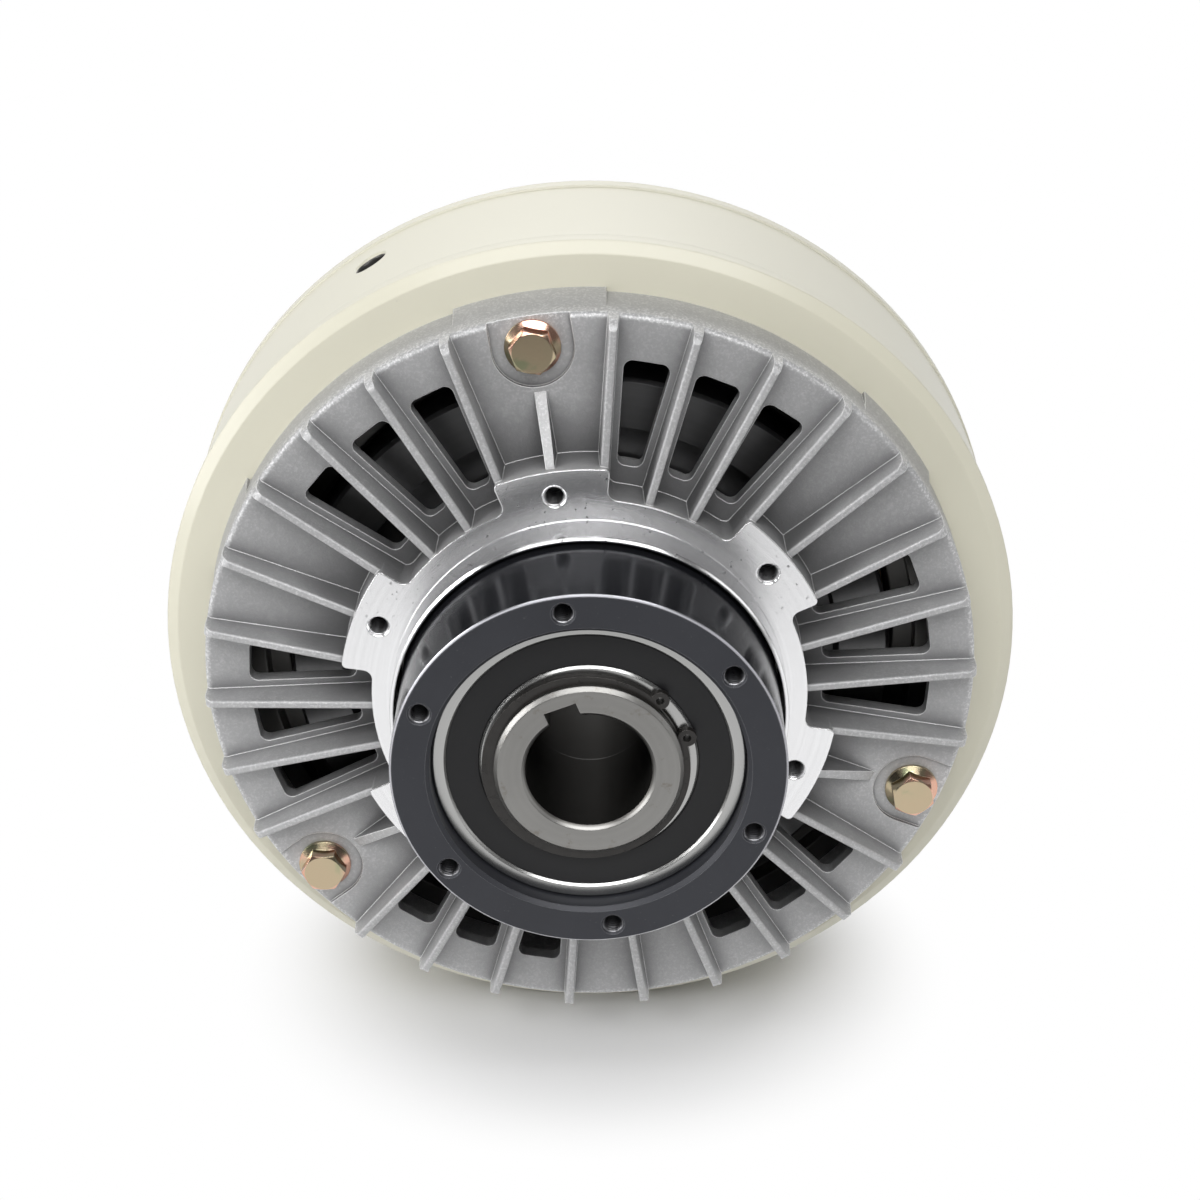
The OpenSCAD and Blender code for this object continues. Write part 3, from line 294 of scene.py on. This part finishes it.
def turned_metal(name, dark, light, rough, marks=0.02 * MM, bevel=0.3 * MM, metallic=1.0, stain=0.0,
                 bore=0.0):
    """Metal turned on a lathe: fine rings that follow the radius and the axis. Stain scatters
    brown marks, and the wall of a bore of that radius is darker between its ends, a painted shade."""
    f = new_finish(name)
    at = f.at
    normal = f.rounded(bevel)
    rings = f.line_noise(at.radius + at.y, 7000.0, 3.0)
    bands = f.line_noise(at.radius + at.y, 600.0, 2.0)
    cloud = f.noise(90.0, 4.0, 0.6)
    base = f.mix(0.6 * cloud + 0.4 * bands, dark, light)
    if stain:
        spots = f.noise(260.0, 5.0, 0.7).ramp(0.58, 0.72)
        base = f.mix(spots * stain, base, (0.20, 0.18, 0.155))
    # Painted highlight: edges lighter than the metal
    base = f.mix(f.edge_mask(normal) * 0.5, base, tuple(min(1.0, 1.3 * c) for c in light))
    if bore:
        # Painted shade: the wall of the bore darker between its ends
        wall = at.radius.ramp(bore + 1.1 * MM, bore + 0.9 * MM)
        wall = wall * at.y.ramp(BORE_FRONT_Y - 0.2 * MM, BORE_FRONT_Y + 0.2 * MM)
        wall = wall * at.y.ramp(BORE_BACK_Y + 0.2 * MM, BORE_BACK_Y - 0.2 * MM)
        base = f.mix(wall, base, (0.125, 0.121, 0.115))
    return f.finish({
        "Base Color": base, "Metallic": metallic, "Roughness": rough - 0.06 + 0.12 * cloud + 0.05 * rings,
        "Normal": f.bump(rings, marks, 0.6, normal)})


def black_steel(colours):
    """Chemically blackened steel: satin face, glossier where it was ground round, with painted
    highlights on its edges and its front chamfer."""
    f = new_finish("blackened_steel")
    at = f.at
    normal = f.rounded(0.35 * MM)
    rings = f.line_noise(at.radius + at.y, 6000.0, 3.0)
    cloud = f.noise(60.0, 4.0, 0.6)
    dust = f.noise(1500.0, 2.0).ramp(0.70, 0.76)
    side = at.radius.ramp(FLANGE_RADIUS - 0.30 * MM, FLANGE_RADIUS - 0.15 * MM)
    # Painted highlight: the front chamfer of the flange lighter
    chamfer = at.radius.ramp(FLANGE_RADIUS - 0.55 * MM, FLANGE_RADIUS - 0.45 * MM)
    chamfer = chamfer * at.y.ramp(FLANGE_FACE_Y + 0.65 * MM, FLANGE_FACE_Y + 0.55 * MM)
    base = f.mix(cloud, colours.black_dark, colours.black)
    # Painted highlight: edges of the flange lighter
    base = f.mix(f.edge_mask(normal), base, colours.black_edge_highlight)
    base = f.mix(chamfer, base, colours.black_chamfer_highlight)
    base = f.mix(dust * 0.15, base, colours.black_dust)
    return f.finish({
        "Base Color": base, "Metallic": 0.35 + 0.35 * side,
        "Roughness": 0.44 - 0.30 * side + 0.06 * cloud,
        "Normal": f.bump(rings, 0.008 * MM, 0.5, normal)})


def yellow_zinc(colours):
    """Yellow chromate over zinc: the thin film turns from gold to green, and to pink where it runs
    off the flat top of the head."""
    f = new_finish("yellow_chromate_zinc")
    normal = f.rounded(0.25 * MM)
    film = f.noise(110.0, 3.0, 0.5, 0.4)
    fine = f.noise(1400.0, 2.0)
    along_axis = f.add("ShaderNodeSeparateXYZ", {}, {"Vector": f.surface()}, out="Y")
    top = along_axis.math("ABSOLUTE").ramp(0.985, 0.995)
    base = f.mix(film.ramp(0.42, 0.32), colours.zinc, colours.zinc_green)
    base = f.mix(film.ramp(0.44, 0.56) * (1.0 - 0.95 * top), base, colours.zinc_pink)
    # Painted highlight: edges of the bolt heads lighter
    base = f.mix(f.edge_mask(normal) * 0.9, base, colours.zinc_edge_highlight)
    return f.finish({
        "Base Color": base, "Metallic": 1.0, "Roughness": 0.12 + 0.12 * fine,
        "Normal": f.bump(fine, 0.004 * MM, 0.5, normal)})


def black_oxide():
    """Spring steel blackened in oil, brown where the film is thin."""
    f = new_finish("black_oxide_spring_steel")
    normal = f.rounded(0.2 * MM)
    cloud = f.noise(300.0, 3.0)
    base = f.mix(cloud, (0.014, 0.013, 0.012), (0.040, 0.037, 0.035))
    # Painted highlight: edges of the blackened steel lighter
    base = f.mix(f.edge_mask(normal) * 0.6, base, (0.16, 0.15, 0.14))
    return f.finish({
        "Base Color": base, "Metallic": 0.4, "Roughness": 0.22 + 0.14 * cloud,
        "Normal": f.bump(cloud, 0.01 * MM, 0.5, normal)})


def seal_rubber(colours):
    """Moulded nitrile with a glossy skin and faint moulding rings."""
    f = new_finish("nitrile_seal_rubber")
    mould = f.line_noise(f.at.radius, 2500.0, 2.0)
    cloud = f.noise(120.0, 3.0)
    return f.finish({
        "Base Color": f.mix(cloud, colours.rubber_dark, colours.rubber), "Roughness": 0.30 + 0.16 * cloud,
        "Specular IOR Level": 0.3,
        "Normal": f.bump(mould + 0.3 * cloud, 0.015 * MM, 0.5, f.rounded(0.3 * MM))})


def plain_inner(name, dark, light, rough, metallic=0.0, grain=400.0, depth=0.02 * MM):
    """Finish for the pieces inside: a mottled colour with a fine grain."""
    f = new_finish(name)
    cloud = f.noise(grain, 4.0, 0.6)
    return f.finish({
        "Base Color": f.mix(cloud, dark, light), "Metallic": metallic,
        "Roughness": rough - 0.075 + 0.15 * cloud,
        "Normal": f.bump(cloud, depth, 0.6, f.rounded(0.2 * MM))})


def tapped_metal(name, dark, light):
    """Bright cut metal of the tapped threads."""
    f = new_finish(name)
    cloud = f.noise(500.0, 3.0)
    return f.finish({
        "Base Color": f.mix(cloud, dark, light), "Metallic": 1.0, "Roughness": 0.24 + 0.10 * cloud})


def coil_winding():
    """Varnished wire laid in turns: ridges along the axis."""
    f = new_finish("varnished_winding")
    wave = (f.at.y * 5200.0).math("SINE")
    cloud = f.noise(60.0, 3.0)
    return f.finish({
        "Base Color": f.mix(cloud, (0.20, 0.05, 0.02), (0.42, 0.15, 0.06)),
        "Roughness": 0.25 + 0.1 * cloud, "Normal": f.bump(wave, 0.15 * MM, 0.7, f.rounded(0.5 * MM))})


# Surfaces

def grid_faces(points, closed=False):
    """(points, quads) of a grid of points[u, v]: every cell becomes one four-sided face of the
    points at its corners, and closed joins the last column to the first."""
    rows, columns = points.shape[:2]
    u = np.arange(rows - 1)[:, None]
    v = np.arange(columns if closed else columns - 1)[None, :]
    after = (v + 1) % columns
    corners = (u * columns + v, u * columns + after, (u + 1) * columns + after, (u + 1) * columns + v)
    quads = np.stack(np.broadcast_arrays(*corners), axis=-1).reshape(-1, 4)
    return points.reshape(-1, 3), quads


def piece_from(name, parts):
    """One smooth-shaded object from several (points, quads) parts."""
    grids, faces = zip(*parts)
    starts = np.cumsum([0] + [len(grid) for grid in grids[:-1]])
    points = np.concatenate(grids)
    quads = np.concatenate([cells + start for cells, start in zip(faces, starts)])
    mesh = bpy.data.meshes.new(name)
    mesh.vertices.add(len(points))
    mesh.vertices.foreach_set("co", points.astype(np.float32).ravel())
    mesh.loops.add(quads.size)
    mesh.loops.foreach_set("vertex_index", quads.astype(np.int32).ravel())
    mesh.polygons.add(len(quads))
    mesh.polygons.foreach_set("loop_start", np.arange(0, quads.size, 4, dtype=np.int32))
    mesh.polygons.foreach_set("use_smooth", np.ones(len(quads), dtype=bool))
    mesh.update(calc_edges=True)
    piece = bpy.data.objects.new(name, mesh)
    bpy.context.scene.collection.objects.link(piece)
    return piece


def thread_wall(centre_x, centre_z, mouth_y, depth, pitch, crest, root, bore):
    """Wall of a tapped hole that runs from mouth_y towards +Y.

    Parameters: t along the depth and the angle q round the hole. The radius is
    crest + (root - crest) * w, where w is a triangle wave, 0 to 1 and back, of the phase
    t / pitch + q / turn, so the ridge climbs one pitch in a turn. The first and the last
    row lie on the drilled bore, which closes the ends."""
    t = np.linspace(0.0, depth, int(depth / pitch * 8) + 1)[:, None]
    q = np.linspace(0.0, 2 * pi, 28, endpoint=False)[None, :]
    phase = (t / pitch + q / (2 * pi)) % 1.0
    r = crest + (root - crest) * (1.0 - np.abs(2.0 * phase - 1.0))
    r[0] = r[-1] = bore
    y = mouth_y + t + 0.0 * q
    return grid_faces(np.stack([centre_x + r * np.cos(q), y, centre_z + r * np.sin(q)], axis=-1), True)


def thread_ring(name, count, circle, first_angle, mouth_y, depth, sizes):
    """Threads of one circle of tapped holes, as one piece."""
    angles = [radians(first_angle) + 2 * pi * k / count for k in range(count)]
    return piece_from(name, [
        thread_wall(circle * cos(a), circle * sin(a), mouth_y, depth, sizes.pitch, sizes.crest, sizes.root,
                    sizes.bore) for a in angles])


def dress(material, *names):
    """Puts a material on CAD nodes or pieces by name."""
    for name in names:
        piece = NODES.get(name) or bpy.data.objects[name]
        piece.data.materials.clear()
        piece.data.materials.append(material)


# Settings

class ClutchColours(bpy.types.PropertyGroup):
    enamel: bpy.props.FloatVectorProperty(
        name="Enamel", description="Ivory enamel of the field core", subtype="COLOR",
        default=(0.655, 0.635, 0.520))
    enamel_dark: bpy.props.FloatVectorProperty(
        name="Enamel, darker", description="Darker clouds of the enamel", subtype="COLOR",
        default=(0.615, 0.595, 0.485))
    # Painted highlight and wear: colour of the enamel on its edges
    enamel_highlight_and_wear: bpy.props.FloatVectorProperty(
        name="Enamel, edges", description="Enamel where it thins over an edge", subtype="COLOR",
        default=(0.78, 0.76, 0.66))
    enamel_dust: bpy.props.FloatVectorProperty(
        name="Enamel, dust", description="Specks of dust on the enamel", subtype="COLOR",
        default=(0.42, 0.40, 0.34))
    bare: bpy.props.FloatVectorProperty(
        name="Bare iron", description="Unpainted mouth of the core and bore of the lead outlet",
        subtype="COLOR", default=(0.130, 0.127, 0.122))
    bare_dark: bpy.props.FloatVectorProperty(
        name="Bare iron, darker", description="Darker clouds of the bare iron", subtype="COLOR",
        default=(0.090, 0.088, 0.085))
    casting: bpy.props.FloatVectorProperty(
        name="Casting", description="Blasted aluminium", subtype="COLOR", default=(0.50, 0.50, 0.505))
    casting_dark: bpy.props.FloatVectorProperty(
        name="Casting, darker", description="Darker clouds of the casting", subtype="COLOR",
        default=(0.40, 0.40, 0.405))
    casting_light: bpy.props.FloatVectorProperty(
        name="Casting, lighter", description="Lighter grains of the casting", subtype="COLOR",
        default=(0.64, 0.64, 0.64))
    # Painted shade: colour of the casting in its corners and between its ribs
    casting_painted_shade: bpy.props.FloatVectorProperty(
        name="Casting, corners", description="Casting where dust lies in its corners", subtype="COLOR",
        default=(0.10, 0.10, 0.102))
    # Painted highlight and wear: lighter colour on edges, shoulder and open grains of the casting
    casting_highlight_and_wear: bpy.props.FloatVectorProperty(
        name="Casting, edges", description="Polished edges of the casting", subtype="COLOR",
        default=(0.95, 0.95, 0.95))
    machined: bpy.props.FloatVectorProperty(
        name="Machined aluminium", description="Turned hub face and pilot", subtype="COLOR",
        default=(0.92, 0.92, 0.93))
    machined_dark: bpy.props.FloatVectorProperty(
        name="Machined aluminium, darker", description="Darker sweeps of the turning tool",
        subtype="COLOR", default=(0.74, 0.74, 0.75))
    pits: bpy.props.FloatVectorProperty(
        name="Pits", description="Small pores that turning laid open", subtype="COLOR",
        default=(0.16, 0.16, 0.17))
    black: bpy.props.FloatVectorProperty(
        name="Blackened steel", description="Input flange", subtype="COLOR",
        default=(0.040, 0.042, 0.050))
    black_dark: bpy.props.FloatVectorProperty(
        name="Blackened steel, darker", description="Darker clouds of the flange", subtype="COLOR",
        default=(0.026, 0.027, 0.033))
    # Painted highlight: colour of the flange's edges
    black_edge_highlight: bpy.props.FloatVectorProperty(
        name="Blackened steel, edges", description="Edges of the flange", subtype="COLOR",
        default=(0.34, 0.34, 0.36))
    # Painted highlight: colour of the flange's front chamfer
    black_chamfer_highlight: bpy.props.FloatVectorProperty(
        name="Blackened steel, rubbed", description="Front chamfer of the flange, rubbed bright",
        subtype="COLOR", default=(0.42, 0.42, 0.45))
    black_dust: bpy.props.FloatVectorProperty(
        name="Blackened steel, dust", description="Specks of dust on the flange", subtype="COLOR",
        default=(0.30, 0.30, 0.30))
    zinc: bpy.props.FloatVectorProperty(
        name="Zinc, gold", description="Yellow zinc of the bolts", subtype="COLOR",
        default=(0.52, 0.43, 0.29))
    zinc_green: bpy.props.FloatVectorProperty(
        name="Zinc, green", description="Thin film of the zinc", subtype="COLOR",
        default=(0.38, 0.39, 0.24))
    zinc_pink: bpy.props.FloatVectorProperty(
        name="Zinc, pink", description="Thick film of the zinc", subtype="COLOR",
        default=(0.74, 0.44, 0.33))
    # Painted highlight: colour of the bolts' edges
    zinc_edge_highlight: bpy.props.FloatVectorProperty(
        name="Zinc, edges", description="Zinc rubbed bright", subtype="COLOR",
        default=(0.95, 0.90, 0.72))
    rubber: bpy.props.FloatVectorProperty(
        name="Rubber", description="Lip seals of the shaft bearing", subtype="COLOR",
        default=(0.015, 0.015, 0.016))
    rubber_dark: bpy.props.FloatVectorProperty(
        name="Rubber, darker", description="Darker clouds of the seals", subtype="COLOR",
        default=(0.009, 0.009, 0.010))


class ClutchThreads(bpy.types.PropertyGroup):
    pitch: bpy.props.FloatProperty(
        name="Pitch", description="Rise of the tapped threads in a turn", unit="LENGTH", default=1.0 * MM)
    crest: bpy.props.FloatProperty(
        name="Crest", description="Smallest radius of the thread", unit="LENGTH", default=2.12 * MM)
    root: bpy.props.FloatProperty(
        name="Root", description="Largest radius of the thread", unit="LENGTH", default=2.49 * MM)
    bore: bpy.props.FloatProperty(
        name="Bore", description="Radius of the drilled hole", unit="LENGTH", default=2.50 * MM)
    lead_in: bpy.props.FloatProperty(
        name="Lead-in", description="Depth of the chamfer at the mouth", unit="LENGTH", default=0.42 * MM)
    flange_circle: bpy.props.FloatProperty(
        name="Flange circle", description="Radius of the flange's hole circle", unit="LENGTH",
        default=42.5 * MM)
    flange_depth: bpy.props.FloatProperty(
        name="Flange depth", description="Length of thread in the flange", unit="LENGTH", default=10.5 * MM)
    hub_circle: bpy.props.FloatProperty(
        name="Hub circle", description="Radius of the hub face's hole circle", unit="LENGTH",
        default=55.5 * MM)
    hub_depth: bpy.props.FloatProperty(
        name="Hub depth", description="Length of thread in the hub face", unit="LENGTH", default=7.5 * MM)


class ClutchStage(bpy.types.PropertyGroup):
    lens: bpy.props.FloatProperty(
        name="Lens", description="Focal length on a 36 mm sensor", unit="CAMERA", default=71.04)
    pitch: bpy.props.FloatProperty(
        name="Pitch", description="Angle at which the camera looks down", subtype="ANGLE",
        default=radians(26.162))
    turn: bpy.props.FloatProperty(
        name="Turn", description="Angle of the camera about the vertical", subtype="ANGLE",
        default=radians(0.065))
    camera: bpy.props.FloatVectorProperty(
        name="Camera", description="Place of the camera", subtype="TRANSLATION", unit="LENGTH",
        default=(0.00318, -0.51814, 0.28205))
    floor: bpy.props.FloatProperty(
        name="Floor", description="Height of the floor", unit="LENGTH", default=CAD_BOX[0][2])
    room: bpy.props.FloatProperty(
        name="Room", description="Level of the light that fills the room", default=0.14)
    key: bpy.props.FloatProperty(
        name="Key", description="Power of the softbox above the camera", unit="POWER", default=20.0)
    back: bpy.props.FloatProperty(
        name="Back", description="Power of the softbox behind the clutch", unit="POWER", default=10.0)
    side: bpy.props.FloatProperty(
        name="Sides", description="Power of the right strip light; the left one has seven times it",
        unit="POWER", default=1.0)


# Steps

class CLUTCH_OT_castings(bpy.types.Operator):
    """Finish the two ribbed bracket castings and cut the threads of the hub face"""
    bl_idname = "clutch.castings"
    bl_label = "Bracket castings"

    def execute(self, context):
        sizes = context.scene.clutch_threads
        threads = thread_ring("hub_face_threads", 6, sizes.hub_circle, HUB_HOLE_ANGLE, sizes.lead_in,
                              sizes.hub_depth, sizes)
        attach(threads, "stator")
        dress(cast_aluminium(context.scene.clutch_colours), "front_bracket", "rear_bracket")
        dress(tapped_metal("tapped_aluminium", dark=(0.30, 0.30, 0.31), light=(0.46, 0.46, 0.46)),
              "hub_face_threads")
        return {"FINISHED"}


class CLUTCH_OT_field_core(bpy.types.Operator):
    """Finish the field core, its cover, coil and pole spacer"""
    bl_idname = "clutch.field_core"
    bl_label = "Field core"

    def execute(self, context):
        dress(ivory_enamel(context.scene.clutch_colours), "field_core", "field_cover")
        dress(coil_winding(), "field_coil")
        dress(turned_metal("turned_brass", dark=(0.50, 0.35, 0.14), light=(0.68, 0.50, 0.24),
                           rough=0.30), "pole_spacer")
        return {"FINISHED"}


class CLUTCH_OT_bolts(bpy.types.Operator):
    """Finish the bracket bolts"""
    bl_idname = "clutch.bolts"
    bl_label = "Bracket bolts"

    def execute(self, context):
        dress(yellow_zinc(context.scene.clutch_colours), "front_bracket_bolts", "rear_bracket_bolts")
        return {"FINISHED"}


class CLUTCH_OT_flange(bpy.types.Operator):
    """Finish the black input flange and cut the threads of its holes"""
    bl_idname = "clutch.flange"
    bl_label = "Input flange"

    def execute(self, context):
        sizes = context.scene.clutch_threads
        threads = thread_ring("input_flange_threads", 6, sizes.flange_circle, FLANGE_HOLE_ANGLE,
                              FLANGE_FACE_Y + sizes.lead_in, sizes.flange_depth, sizes)
        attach(threads, "drive")
        dress(black_steel(context.scene.clutch_colours), "input_flange")
        dress(tapped_metal("tapped_steel", dark=(0.18, 0.18, 0.19), light=(0.32, 0.32, 0.33)),
              "input_flange_threads")
        return {"FINISHED"}


class CLUTCH_OT_shaft(bpy.types.Operator):
    """Finish the hollow shaft, its circlips and the hidden screws"""
    bl_idname = "clutch.shaft"
    bl_label = "Hollow shaft"

    def execute(self, context):
        dress(turned_metal("ground_shaft_steel", dark=(0.23, 0.226, 0.218), light=(0.34, 0.335, 0.323),
                           rough=0.34, marks=0.01 * MM, bevel=0.4 * MM, stain=0.7, bore=BORE_RADIUS),
              "hollow_shaft")
        dress(black_oxide(), "front_shaft_clip", "rear_shaft_clip", "rotor_clips", "rear_hub_clip",
              "front_drum_bearing_clip", "rear_drum_bearing_clip", "input_flange_screws",
              "front_plate_screws", "rear_plate_screws")
        return {"FINISHED"}


class CLUTCH_OT_bearings(bpy.types.Operator):
    """Finish the bearings: rings, balls, cages, seals and shields"""
    bl_idname = "clutch.bearings"
    bl_label = "Bearings"

    def execute(self, context):
        ends = ("front", "rear")
        dress(turned_metal("ground_bearing_steel", dark=(0.40, 0.40, 0.395), light=(0.50, 0.50, 0.49),
                           rough=0.22, marks=0.002 * MM, bevel=0.35 * MM),
              *(f"{e}_{b}_bearing_{p}" for e in ends for b in ("drum", "shaft")
                for p in ("outer", "inner", "balls")))
        dress(plain_inner("moulded_cage_nylon", dark=(0.45, 0.38, 0.24), light=(0.60, 0.52, 0.34),
                          rough=0.5),
              *(f"{e}_{b}_bearing_cage" for e in ends for b in ("drum", "shaft")))
        dress(turned_metal("pressed_shield_steel", dark=(0.42, 0.42, 0.42), light=(0.55, 0.55, 0.55),
                           rough=0.34), *(f"{e}_drum_bearing_shields" for e in ends))
        dress(seal_rubber(context.scene.clutch_colours), *(f"{e}_shaft_bearing_seals" for e in ends))
        return {"FINISHED"}


class CLUTCH_OT_inner_parts(bpy.types.Operator):
    """Finish the drum, its side plates, the rotor and the powder seals"""
    bl_idname = "clutch.inner_parts"
    bl_label = "Drum and rotor"

    def execute(self, context):
        dress(turned_metal("fine_turned_steel", dark=(0.150, 0.150, 0.152), light=(0.230, 0.230, 0.232),
                           rough=0.42, marks=0.01 * MM),
              "front_side_plate", "rear_side_plate", "drum", "inner_rotor", "rotor_key")
        dress(turned_metal("turned_stainless", dark=(0.45, 0.45, 0.46), light=(0.60, 0.60, 0.61),
                           rough=0.30), "drum_break_ring")
        dress(plain_inner("pressed_felt", dark=(0.36, 0.32, 0.24), light=(0.58, 0.53, 0.42), rough=0.95,
                          grain=900.0, depth=0.1 * MM), "front_powder_seal", "rear_powder_seal")
        dress(plain_inner("magnetic_powder", dark=(0.05, 0.05, 0.055), light=(0.14, 0.14, 0.15), rough=0.7,
                          metallic=0.5, grain=2500.0, depth=0.05 * MM), "powder_charge")
        return {"FINISHED"}


def area_lamp(name, place, width, height, watts):
    """Soft lamp at place, turned so that it shines at the middle of the hub face."""
    lamp = bpy.data.lights.new(name, "AREA")
    lamp.shape = "RECTANGLE"
    lamp.size, lamp.size_y, lamp.energy = width, height, watts
    holder = bpy.data.objects.new(name, lamp)
    x, y, z = place
    holder.location = place
    holder.rotation_euler = (atan2(hypot(x, y), z), 0.0, atan2(-y, -x) - pi / 2)
    bpy.context.scene.collection.objects.link(holder)


def lay_floor(level):
    """Pale paper that turns plain white away from the clutch, where no shadow falls. Metal sees
    it white near the clutch and greyer in front, where the camera's side of the room is dim."""
    half = 6.0
    shadow_middle, shadow_half_width, shadow_half_depth = 0.045, 0.098, 0.085
    u = np.linspace(-half, half, 3)
    across, along = np.meshgrid(u, u)
    floor = piece_from("floor", [grid_faces(np.stack([across, along, level + 0.0 * across], axis=-1))])
    f = new_finish("pale_floor")
    sideways = f.at.x * (1 / shadow_half_width)
    backwards = (f.at.y - shadow_middle) * (1 / shadow_half_depth)
    away = (sideways * sideways + backwards * backwards).math("SQRT").ramp(0.50, 1.05)
    eye, mirror = f.eye_and_mirror()
    dim = mirror * f.at.y.ramp(-0.22, -0.66)
    paper = f.add("ShaderNodeBsdfPrincipled", {}, {"Base Color": (0.74, 0.74, 0.74), "Roughness": 0.9})
    white = f.add("ShaderNodeEmission", {}, {"Color": f.mix(dim, (1.0, 1.0, 1.0), (0.22, 0.22, 0.22))})
    blend = f.add("ShaderNodeMixShader", {}, {0: eye * away + mirror, 1: paper, 2: white})
    f.add("ShaderNodeOutputMaterial", {}, {"Surface": blend})
    floor.data.materials.append(f.owner)


def light_room(scene, room):
    """White backdrop behind the clutch, for the eye and for metal and glass; elsewhere a dim room."""
    scene.world = bpy.data.worlds.new("soft_room")
    w = Sheet(scene.world)
    towards = w.add("ShaderNodeTexCoord", {}, {})
    behind = w.add("ShaderNodeSeparateXYZ", {}, {"Vector": towards}, out="Y").ramp(0.35, 0.75)
    eye, mirror = w.eye_and_mirror()
    seen = (eye + mirror * behind).math("MINIMUM", 1.0)
    back = w.add("ShaderNodeBackground", {}, {
        "Color": (1.0, 1.0, 1.0), "Strength": room + (1.0 - room) * seen})
    w.add("ShaderNodeOutputWorld", {}, {"Surface": back})


class CLUTCH_OT_stage(bpy.types.Operator):
    """Lay the floor, set the lamps and the camera"""
    bl_idname = "clutch.stage"
    bl_label = "Stage"

    def execute(self, context):
        scene = context.scene
        stage = scene.clutch_stage
        scene.view_settings.view_transform = "Standard"

        optics = bpy.data.cameras.new("camera")
        optics.lens, optics.sensor_width = stage.lens, 36.0
        camera = bpy.data.objects.new("camera", optics)
        camera.location = stage.camera
        camera.rotation_euler = (pi / 2 - stage.pitch, 0.0, stage.turn)
        scene.collection.objects.link(camera)
        scene.camera = camera

        lay_floor(stage.floor)
        light_room(scene, stage.room)
        area_lamp("key_softbox", (0.02, -0.95, 1.15), width=1.6, height=0.7, watts=stage.key)
        area_lamp("back_softbox", (0.0, 1.20, 0.80), width=2.6, height=0.6, watts=stage.back)
        area_lamp("left_strip", (-1.10, -0.35, 0.35), width=0.3, height=0.9, watts=7.0 * stage.side)
        area_lamp("right_strip", (1.10, -0.35, 0.35), width=0.3, height=0.9, watts=stage.side)
        return {"FINISHED"}


STEPS = (CLUTCH_OT_stage, CLUTCH_OT_castings, CLUTCH_OT_field_core, CLUTCH_OT_bolts, CLUTCH_OT_flange,
         CLUTCH_OT_shaft, CLUTCH_OT_bearings, CLUTCH_OT_inner_parts)


class CLUTCH_PT_panel(bpy.types.Panel):
    """Lists the steps that finish the clutch"""
    bl_idname = "CLUTCH_PT_panel"
    bl_label = "Powder clutch"
    bl_space_type = "VIEW_3D"
    bl_region_type = "UI"
    bl_category = "Clutch"

    def draw(self, context):
        for step in STEPS:
            self.layout.operator(step.bl_idname)


CLASSES = (ClutchColours, ClutchThreads, ClutchStage, *STEPS, CLUTCH_PT_panel)


def register():
    for cls in CLASSES:
        bpy.utils.register_class(cls)
    bpy.types.Scene.clutch_colours = bpy.props.PointerProperty(type=ClutchColours)
    bpy.types.Scene.clutch_threads = bpy.props.PointerProperty(type=ClutchThreads)
    bpy.types.Scene.clutch_stage = bpy.props.PointerProperty(type=ClutchStage)


def unregister():
    del bpy.types.Scene.clutch_stage
    del bpy.types.Scene.clutch_threads
    del bpy.types.Scene.clutch_colours
    for cls in reversed(CLASSES):
        bpy.utils.unregister_class(cls)


def main():
    register()
    for step in STEPS:
        group, name = step.bl_idname.split(".")
        getattr(getattr(bpy.ops, group), name)()


if __name__ == "__main__":
    main()
